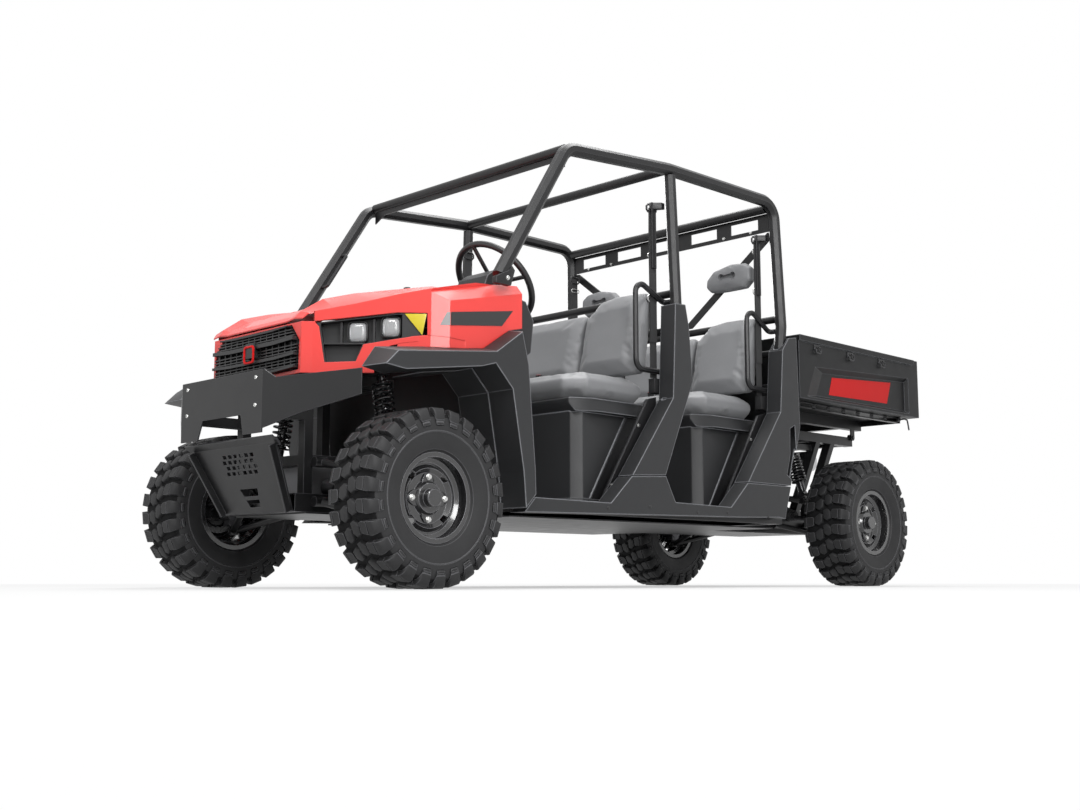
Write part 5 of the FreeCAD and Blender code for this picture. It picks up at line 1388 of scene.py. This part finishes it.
@dataclass
class FrontEnd:
    """Lamps, markers, badge frame, decals and fasteners of the nose."""

    plate_y: float = -2.0120
    bolt_x: float = 0.242
    bolt_z: Pair = (0.781, 0.677)
    lamp_half: Pair = (0.030, 0.036)
    lamp_centres: tuple[Pair, ...] = ((0.452, 0.968), (0.541, 0.987))
    lamp_back: float = -0.030
    lamp_stretch: float = 1.12
    lamp_steps: int = 28
    badge_z: float = 0.908
    side_x: float = 0.6921
    web_thick: float = 0.004

    def lamp_ring(self, stuff: Stuff, side: int, lamp: Pair, depth: float, grow: float,
                  power: float) -> list[bmesh.types.BMVert]:
        """Adds a rounded-square ring in front of a lamp's place.

        Args:
            stuff: The mesh that takes it.
            side: One for the left, minus one for the right.
            lamp: The lamp's place across and its height.
            depth: Distance in front of the lamp's back.
            grow: Share of the lamp's size.
            power: How square the ring is.

        Returns:
            The ring.
        """
        w, h = self.lamp_half
        ring = []
        for u, v in squared_circle(power, self.lamp_steps):
            p = fascia(lamp[0] + w * u * grow / math.sqrt(2) * self.lamp_stretch,
                       lamp[1] + h * v * grow, self.lamp_back + depth)
            ring.append((side * p.x, p.y, p.z))
        return stuff.loop(ring)

    def lens(self, stuff: Stuff, side: int, lamp: Pair) -> None:
        """Adds a crowned rounded-square lens."""
        stuff.bridge([self.lamp_ring(stuff, side, lamp, *row) for row in
                      ((-0.012, 1.0, 5.0), (0.004, 1.0, 5.0), (0.010, 0.94, 4.5),
                       (0.0145, 0.80, 4.0), (0.0175, 0.55, 3.0), (0.0185, 0.25, 2.4))])

    def bezel(self, stuff: Stuff, side: int, lamp: Pair) -> None:
        """Adds a raised frame round a lens."""
        stuff.bridge([self.lamp_ring(stuff, side, lamp, *row, 5.0) for row in
                      ((-0.010, 1.02), (0.011, 1.02), (0.013, 1.07), (0.011, 1.16),
                       (-0.010, 1.18))], False, True)

    def lamps(self) -> None:
        """Builds the lamps and the corner markers in place of their plain solids."""
        glass = Stuff("headlight_glass", "chassis", "lens_clear")
        frames = Stuff("headlight_bezels", "chassis", "moulded_black")
        amber = Stuff("corner_markers", "chassis", "marker_amber")
        for side in (-1, 1):
            for lamp in self.lamp_centres:
                self.lens(glass, side, lamp)
                self.bezel(frames, side, lamp)
            corners = [fascia(x, z, -0.0015) for x, z in
                       ((0.579, 1.035), (0.638, 1.034), (0.627, 0.951))]
            amber.prism([(side * p.x, p.y, p.z) for p in corners],
                        Vector((side, -1, 0)).normalized() * 0.0030)
        for stuff, bevel in ((glass, 0.0), (frames, 0.0), (amber, 0.0012)):
            stuff.done(["headlight_lenses"], bevel)

    def badge(self) -> None:
        """Adds the bare badge's raised square frame."""
        stuff = Stuff("badge_frame", "chassis", "decal_red")
        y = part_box("grille")[0].y
        stuff.bridge([stuff.loop([(half * u, y + depth, self.badge_z + half * v)
                                  for u, v in squared_circle(7.0, 32, 0.5)]) for depth, half in
                      ((0.001, 0.036), (-0.003, 0.036), (-0.0045, 0.034), (-0.0045, 0.029),
                       (-0.003, 0.0275), (0.001, 0.0275))], False, True)
        stuff.done()

    def decals(self) -> None:
        """Adds the dark shape on each fender's side and its piece round the corner."""
        dark = Stuff("fender_dark_shapes", "chassis", "decal_black")
        shape = [(-1.4480, 0.9935), (-1.4480, 1.0447), (-1.1212, 1.0961), (-1.1813, 1.0270)]
        corner = [(0.6688, -1.4827, 0.9926), (0.6832, -1.4607, 1.0440),
                  (0.6905, -1.4496, 1.0445), (0.6905, -1.4496, 0.9934)]
        for side in (-1, 1):
            dark.prism(across("x", side * self.side_x, shape), (side * 0.0006, 0, 0))
            dark.prism([(side * x, y, z) for x, y, z in corner],
                       Vector((side * 0.836, -0.548, 0)).normalized() * 0.0008)
        dark.done(merge=1e-7)

    def lower_webs(self) -> None:
        """Closes the wing under the marker, from the chin round the corner to the flare."""
        stuff = Stuff("fender_lower_webs", "chassis", "panel_red")
        thick = self.web_thick
        for side in (-1, 1):
            stuff.bridge([stuff.loop([(side * x, y, low), (side * x, y, high),
                                      (side * (x - thick), y + thick, high),
                                      (side * (x - thick), y + thick, low)])
                          for x, y, low, high in ((0.560, -1.6002, 0.8900, 0.9360),
                                                  (0.598, -1.5622, 0.9035, 0.9480),
                                                  (0.6480, -1.5112, 0.9075, 0.9540),
                                                  (0.6882, -1.4500, 0.9065, 0.9560),
                                                  (0.6893, -1.3200, 0.9190, 0.9560))])
        stuff.done(merge=1e-7, smooth=False)

    def knob(self) -> None:
        """Adds the turned knob near the hood's rear edge."""
        stuff = Stuff("hood_latch_knob", "hood_lid", "moulded_black")
        stuff.spin([(-0.020, 0.0), (-0.020, 0.016), (0.002, 0.016), (0.004, 0.010),
                    (0.010, 0.010), (0.012, 0.015), (0.019, 0.014), (0.021, 0.009), (0.021, 0.0)],
                   (0.284, -1.330, 1.203), (0, -0.10, 1), 20)
        stuff.done(merge=1e-6)

    def build(self) -> None:
        """Builds every piece of the nose."""
        for make in (self.lamps, self.badge, self.decals, self.lower_webs, self.knob):
            make()
        spots = [((side * self.bolt_x, self.plate_y, z), (0, -1, 0)) for side in (-1, 1)
                 for z in self.bolt_z]
        PATTERNS.fasteners("bumper_bolts", "chassis", "zinc_plate", Head.BUTTON, 0.0085, spots)


@dataclass
class SeatBases:
    """Moulded seat bases with chamfered corners, ribs and an overhanging pan."""

    fronts: Pair = (-0.625, 0.210)
    depth: float = 0.470
    half: float = 0.570
    floor: float = 0.3665
    top: float = 0.757
    pan: float = 0.0575
    cut: float = 0.040
    overhang: float = 0.020

    def layers(self, stuff: Stuff, plan: Sequence[Pair], rear: float,
               rows: Sequence[Pair]) -> None:
        """Lofts a plan through heights.

        Args:
            stuff: The mesh that takes it.
            plan: Places across and along.
            rear: Where the plan ends and doesn't grow.
            rows: Height of each layer and how far it grows to the sides and the front.
        """
        stuff.bridge([stuff.loop([(u + math.copysign(grow, u), v - (grow if v < rear else 0.0), z)
                                  for u, v in plan]) for z, grow in rows])

    def base(self, stuff: Stuff, dark: Stuff, y: float) -> None:
        """Adds one base, its pan and a black sheet on the rear part of its sides, painted shade for
        the cut-away rear of each side.
        """
        w, rear, cut, p = self.half, y + self.depth, self.cut, self.overhang
        foot, top = self.floor + 0.014, self.top - 0.006
        plan = [(-w + cut, y), (w - cut, y), (w, y + cut), (w, rear), (-w, rear), (-w, y + cut)]
        self.layers(stuff, plan, rear, ((self.floor, 0.006), (self.floor + 0.010, 0.006),
                                        (self.floor + 0.012, 0.0), (self.top, 0.0)))
        lip = [(-w + cut - 0.012, y - p), (w - cut + 0.012, y - p), (w + p, y + cut + 0.034),
               (w + p, rear), (-w - p, rear), (-w - p, y + cut + 0.034)]
        pan = self.top + self.pan
        self.layers(stuff, lip, rear, ((self.top - 0.004, -0.022), (self.top + 0.034, 0.0),
                                       (pan - 0.006, 0.0), (pan - 0.001, -0.006)))
        rib = [(0.312, top), (0.325, top), (0.091, foot), (0.078, foot)]
        # Black sheet behind the rib on each side: painted shade of the cut-away rear part.
        panel = [(0.326, top), (self.depth - 0.002, top), (self.depth - 0.002, foot),
                 (0.092, foot)]
        for side in (-1, 1):
            for mesh, outline, thick in ((stuff, rib, 0.006), (dark, panel, 0.003)):
                mesh.prism(across("x", side * (w - 0.001), [(y + v, z) for v, z in outline]),
                           (side * thick, 0, 0))

    def build(self) -> None:
        """Builds both bases."""
        stuff = Stuff("seat_base_shells", "chassis", "moulded_charcoal")
        # The black side sheets are painted shade of the cut-away rear of the sides.
        dark = Stuff("seat_base_rear_panels", "chassis", "moulded_black")
        for y in self.fronts:
            self.base(stuff, dark, y)
        stuff.done(["seat_bases"], bevel=0.003)
        dark.done(["seat_bases"])


@dataclass
class CageFittings:
    """Bolts, clips and small plates of the cage, the pillars and the sills."""

    row_pitch: float = 0.835
    plate_bolts: tuple[float, ...] = (-0.560, -0.390, 0.390, 0.560)
    clips: tuple[Pair, ...] = ((-0.62, 0.330), (-0.35, 0.345), (-0.02, 0.332), (0.20, 0.340),
                               (0.52, 0.332))
    panel_x: float = 0.7450
    kick_x: float = 0.648
    kick_thick: float = 0.004
    foot_x: float = 0.6925
    foot_wide: float = 0.0245

    def bolts(self) -> None:
        """Adds the rear plate's bolts and the sills' clips."""
        PATTERNS.fasteners("cage_plate_bolts", "chassis", "zinc_plate", Head.HEX, 0.0070,
                           [((x, 0.6860, 1.785), (0, -1, 0)) for x in self.plate_bolts])
        PATTERNS.fasteners("sill_clips", "chassis", "moulded_black", Head.RIVET, 0.0080,
                           [((side * self.panel_x, y, z), (side, 0, 0)) for side in (-1, 1)
                            for y, z in self.clips])

    def kick_plates(self) -> None:
        """Adds the folded plates inside the pillar covers, with their bolts."""
        stuff = Stuff("pillar_kick_plates", "chassis", "powder_black")
        web = [(-0.2560, 0.8300), (-0.1900, 0.8450), (-0.1900, 0.7000), (-0.4300, 0.3760),
               (-0.5560, 0.3760)]
        edge = [(-0.2560, 0.8300), (-0.2480, 0.8300), (-0.5480, 0.3760), (-0.5560, 0.3760)]
        spots = []
        for shift in (0.0, self.row_pitch):
            for side in (-1, 1):
                x = side * self.kick_x
                for outline, at, thick in ((web, x, self.kick_thick),
                                           (edge, x - side * 0.006, 0.016)):
                    stuff.prism(across("x", at, [(y + shift, z) for y, z in outline]),
                                (side * thick, 0, 0))
                spots += [((x + side * self.kick_thick, y + shift, z), (side, 0, 0))
                          for y, z in ((-0.3150, 0.7080), (-0.4930, 0.4350))]
        stuff.done(bevel=0.001)
        PATTERNS.fasteners("kick_plate_bolts", "chassis", "zinc_plate", Head.HEX, 0.0075, spots)

    def feet(self) -> None:
        """Adds the brackets under the feet of the windscreen posts."""
        stuff = Stuff("post_foot_brackets", "chassis", "powder_black")
        outline = [(-1.2350, 1.1900), (-1.1550, 1.1900), (-1.1330, 1.2550), (-1.1480, 1.2720),
                   (-1.1650, 1.2520), (-1.2350, 1.2180)]
        spots = []
        for side in (-1, 1):
            stuff.prism(across("x", side * self.foot_x, outline), (side * self.foot_wide, 0, 0))
            spots.append(((side * (self.foot_x + self.foot_wide), -1.1750, 1.2180), (side, 0, 0)))
        stuff.done(bevel=0.002)
        PATTERNS.fasteners("post_foot_bolts", "chassis", "zinc_plate", Head.HEX, 0.0085, spots)

    def build(self) -> None:
        """Builds the fittings of the cage and the pillars."""
        self.bolts()
        self.kick_plates()
        self.feet()


@dataclass
class BedFittings:
    """Tie-down hooks, red side panels, floor ribs, under webs and the tailgate's furniture."""

    half: float = 0.735
    recess: float = 0.7130
    hooks: tuple[float, ...] = (0.990, 1.304, 1.617)
    hook_z: float = 1.205
    wire: float = 0.0042
    hook_reach: float = 0.0125
    hook_bend: float = 0.016
    panel: tuple[Pair, ...] = ((1.1265, 0.9800), (1.1605, 1.0740), (1.7500, 1.1100),
                               (1.7050, 0.9900))
    floor_z: float = 0.957
    rib_count: int = 19
    rib_pitch: float = 0.0694
    web_x: float = 0.655
    web_depth: float = 0.030
    web_thick: float = 0.004
    web_post: float = 0.034
    web_bays: int = 7

    def hook(self, stuff: Stuff, side: int, y: float) -> None:
        """Adds one J hook on its foot plate under the rim."""
        x, z = side * self.half, self.hook_z
        out = x + side * self.hook_reach
        low = z - 0.028
        stuff.prism(across("x", x, oblong((y - 0.026, y + 0.026), (z - 0.010, z + 0.016))),
                    (side * 0.004, 0, 0))
        path = [(out, y - 0.020, low), (out, y - 0.006, low)]
        for k in range(13):
            angle = math.radians(-90 + 200 * k / 12)
            path.append((out, y + 0.006 + self.hook_bend * math.cos(angle),
                         z - 0.012 + self.hook_bend * math.sin(angle)))
        stuff.pipe(path, self.wire, 8)
        stuff.pipe([(x, y - 0.020, z - 0.002), (out, y - 0.020, z - 0.012),
                    (out, y - 0.020, low)], self.wire, 8)

    def sides(self) -> None:
        """Adds the hooks and the bare red panels of both sides."""
        hooks = Stuff("bed_tie_down_hooks", "bed", "powder_black")
        red = Stuff("bed_red_panels", "bed", "decal_red")
        for side in (-1, 1):
            for y in self.hooks:
                self.hook(hooks, side, y)
            red.prism(across("x", side * self.recess, self.panel), (side * 0.0006, 0, 0))
        hooks.done(merge=1e-6)
        red.done(merge=1e-7)

    def floor_ribs(self) -> None:
        """Adds the raised ribs of the bed's floor."""
        low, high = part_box("cargo_bed")
        stuff = Stuff("bed_floor_ribs", "bed", "bed_charcoal")
        outline = oblong((-0.640, -0.610), (low.y + 0.060, high.y - 0.075))
        stuff.prism(across("z", self.floor_z, outline), (0, 0, 0.005))
        made = stuff.done(bevel=0.0016)
        made.parent = None
        PATTERNS.row.apply(made, stuff.look, Count=self.rib_count, Step=(self.rib_pitch, 0.0, 0.0))
        soften(made)
        dress(made, stuff.body, stuff.look)

    def gate(self) -> None:
        """Adds the tailgate's handle with its frame, and its ribs."""
        low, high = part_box("tailgate")
        y, mid = high.y, (low.z + high.z) / 2 + 0.075
        handle = Stuff("tailgate_handle", "gate", "moulded_black")
        for at, half, span, thick in ((y, 0.095, (mid - 0.030, mid + 0.030), 0.004),
                                      (y + 0.004, 0.070, (mid + 0.004, mid + 0.022), 0.010)):
            handle.prism(across("y", at, oblong((-half, half), span)), (0, thick, 0))
        handle.done(bevel=0.003)
        ribs = Stuff("tailgate_ribs", "gate", "bed_charcoal")
        blocks = [((x - 0.012, x + 0.012), (low.z + 0.040, high.z - 0.060))
                  for x in (-0.52, -0.34, 0.34, 0.52)]
        for span, rise in blocks + [((-0.560, 0.560), (high.z - 0.052, high.z - 0.034))]:
            ribs.prism(across("y", y, oblong(span, rise)), (0, 0.005, 0))
        ribs.done(bevel=0.002)

    def under_webs(self) -> None:
        """Adds the pierced steel webs under the sides and the rear of the bed."""
        stuff = Stuff("bed_under_webs", "bed", "powder_black")
        low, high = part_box("cargo_bed")
        top, foot = low.z, low.z - self.web_depth
        front, rear = low.y + 0.080, high.y - 0.075
        thick, post = self.web_thick, self.web_post
        pitch = (rear - front - post) / self.web_bays
        for side in (-1, 1):
            x = side * self.web_x
            spans = [((front, rear), (foot, foot + 0.007)), ((front, rear), (top - 0.006, top))]
            spans += [((front + pitch * k, front + pitch * k + post), (foot, top))
                      for k in range(self.web_bays + 1)]
            for along, rise in spans:
                stuff.prism(across("x", x, oblong(along, rise)), (side * thick, 0, 0))
            stuff.prism(across("x", x, oblong((front, rear), (foot, foot + 0.004))),
                        (-side * 0.022, 0, 0))
        stuff.prism(across("y", rear - thick, oblong((-self.web_x, self.web_x), (foot, top))),
                    (0, thick, 0))
        stuff.done(bevel=0.001)

    def release(self) -> None:
        """Adds the bed's release rod, which hangs at the rear of its left side."""
        stuff = Stuff("bed_release_rod", "bed", "cast_grey")
        stuff.pipe([(0.664, 1.905, 0.922), (0.700, 1.912, 0.924), (0.712, 1.918, 0.918),
                    (0.713, 1.922, 0.908), (0.7135, 1.934, 0.862)], 0.0045, 8)
        stuff.spin([(0.0, 0.0), (0.0, 0.012), (0.012, 0.012), (0.012, 0.0)],
                   (0.662, 1.905, 0.922), (1, 0, 0), 18)
        stuff.done(merge=1e-6)

    def build(self) -> None:
        """Builds the bed's fittings."""
        for make in (self.sides, self.floor_ribs, self.gate, self.under_webs, self.release):
            make()


ASSEMBLIES: tuple[Any, ...] = (Wheels(), Seats(), Belts(), Shocks(), Boots(), FrontEnd(),
                               SeatBases(), CageFittings(), BedFittings())


WHITE = (1.0, 1.0, 1.0)


@dataclass(frozen=True)
class Lamp:
    """One soft rectangular lamp: where it hangs, what it faces, its size and its watts."""

    name: str
    spot: Point
    target: Point
    size: Pair
    power: float

    def build(self) -> None:
        """Hangs the lamp."""
        data = bpy.data.lights.new(self.name, "AREA")
        data.shape = "RECTANGLE"
        data.size, data.size_y = self.size
        data.energy = self.power
        made = placed(self.name, data)
        made.location = self.spot
        away = Vector(self.spot) - Vector(self.target)
        made.rotation_euler = away.to_track_quat("Z", "Y").to_euler()


LAMPS = (Lamp("key", (3.6, -4.6, 6.0), (0.0, -0.4, 0.9), (2.6, 2.0), 270),
         Lamp("side", (6.2, -3.4, 2.8), (0.2, -1.2, 0.9), (1.8, 2.6), 210),
         Lamp("front", (-1.8, -7.4, 2.4), (0.0, -1.2, 0.8), (2.2, 2.2), 45),
         Lamp("top", (-0.5, 0.8, 6.2), (0.0, 0.2, 0.9), (3.0, 4.5), 330),
         Lamp("back", (-5.5, 4.5, 3.6), (0.0, 0.4, 1.1), (3.0, 2.4), 150))


@dataclass(frozen=True)
class Studio:
    """Camera, lamps, floor and backdrop."""

    eye: Point = (4.3881, -4.6848, 0.0366)
    yaw: float = 44.841
    pitch: float = 7.565
    lens: float = 43.73
    floor_half: float = 40.0
    floor_drop: float = 0.0005
    floor_tone: float = 0.70
    glow_near: float = 0.68
    glow_rise: float = 0.08
    glow_start: float = 2.6
    sky: Colour = (0.94, 0.96, 1.0)
    sky_strength: float = 0.15

    def camera(self) -> None:
        """Places the camera near the floor, looking up at the front left corner."""
        data = bpy.data.cameras.new("camera")
        data.lens, data.sensor_width = self.lens, 36.0
        data.clip_start, data.clip_end = 0.05, 400.0
        made = placed("camera", data)
        made.location = self.eye
        made.rotation_euler = (math.radians(90 + self.pitch), 0.0, math.radians(self.yaw))
        bpy.context.scene.camera = made

    def seen(self, graph: Graph) -> Value:
        """One for rays from the camera, a mirror or glass, nought for light that bounces."""
        path = graph.node("ShaderNodeLightPath")
        camera, mirror, glass = (Value(graph, path.outputs[n]) for n in
                                 ("Is Camera Ray", "Is Glossy Ray", "Is Transmission Ray"))
        return (camera + mirror + glass).clamped()

    def floor(self) -> None:
        """Adds the pale floor, which keeps the vehicle's shadow."""
        shade = Shade("studio_floor")
        diffuse = shade.node("ShaderNodeBsdfDiffuse", None, {"Color": (self.floor_tone,) * 3})
        glow = shade.node("ShaderNodeEmission", None, {"Color": WHITE, "Strength": 1.0})
        reach = shade.node("ShaderNodeVectorMath", {"operation": "LENGTH"}, {0: shade.place()})
        away = Value(shade, reach.outputs["Value"]) - self.glow_start
        share = (self.glow_near + self.glow_rise * away).clamped()
        both = shade.node("ShaderNodeMixShader", None,
                          {0: self.seen(shade) * share, 1: diffuse.outputs[0], 2: glow.outputs[0]})
        half = self.floor_half
        outline = across("z", -self.floor_drop, oblong((-half, half), (-half, half)))
        data = bpy.data.meshes.new("studio_floor")
        data.from_pydata(outline, [], [(0, 1, 2, 3)])
        data.materials.append(shade.close(both.outputs[0]))
        placed("studio_floor", data)

    def world(self) -> None:
        """Lights the scene evenly and shows white behind it."""
        world = bpy.data.worlds.new("studio")
        world.use_nodes = True
        bpy.context.scene.world = world
        graph = Graph(world.node_tree)
        lit, shown = (graph.node("ShaderNodeBackground", None, {"Color": colour, "Strength": power})
                      for colour, power in ((self.sky, self.sky_strength), (WHITE, 1.0)))
        both = graph.node("ShaderNodeMixShader", None,
                          {0: self.seen(graph), 1: lit.outputs[0], 2: shown.outputs[0]})
        graph.node("ShaderNodeOutputWorld", None, {"Surface": both.outputs[0]})

    def build(self) -> None:
        """Sets up the whole studio."""
        bpy.context.scene.view_settings.view_transform = "Standard"
        self.world()
        self.floor()
        self.camera()
        for lamp in LAMPS:
            lamp.build()


def dress_solids() -> None:
    """Gives every CAD node the first finish of its slot."""
    looks: dict[str, str] = {}
    for look in FINISHES.values():
        looks.setdefault(look.slot, look.name)
    for part in frame["record"]["subparts"]:
        for slot in frame["nodes"][part["node"]].material_slots:
            slot.material = finish(looks[part["material_slot"]])


def main() -> None:
    """Builds the looks in order."""
    logging.basicConfig(level=logging.INFO, format="%(message)s")
    dress_solids()
    Studio().build()
    for assembly in ASSEMBLIES:
        LOG.info("%s", type(assembly).__name__)
        assembly.build()


if __name__ == "__main__":
    main()
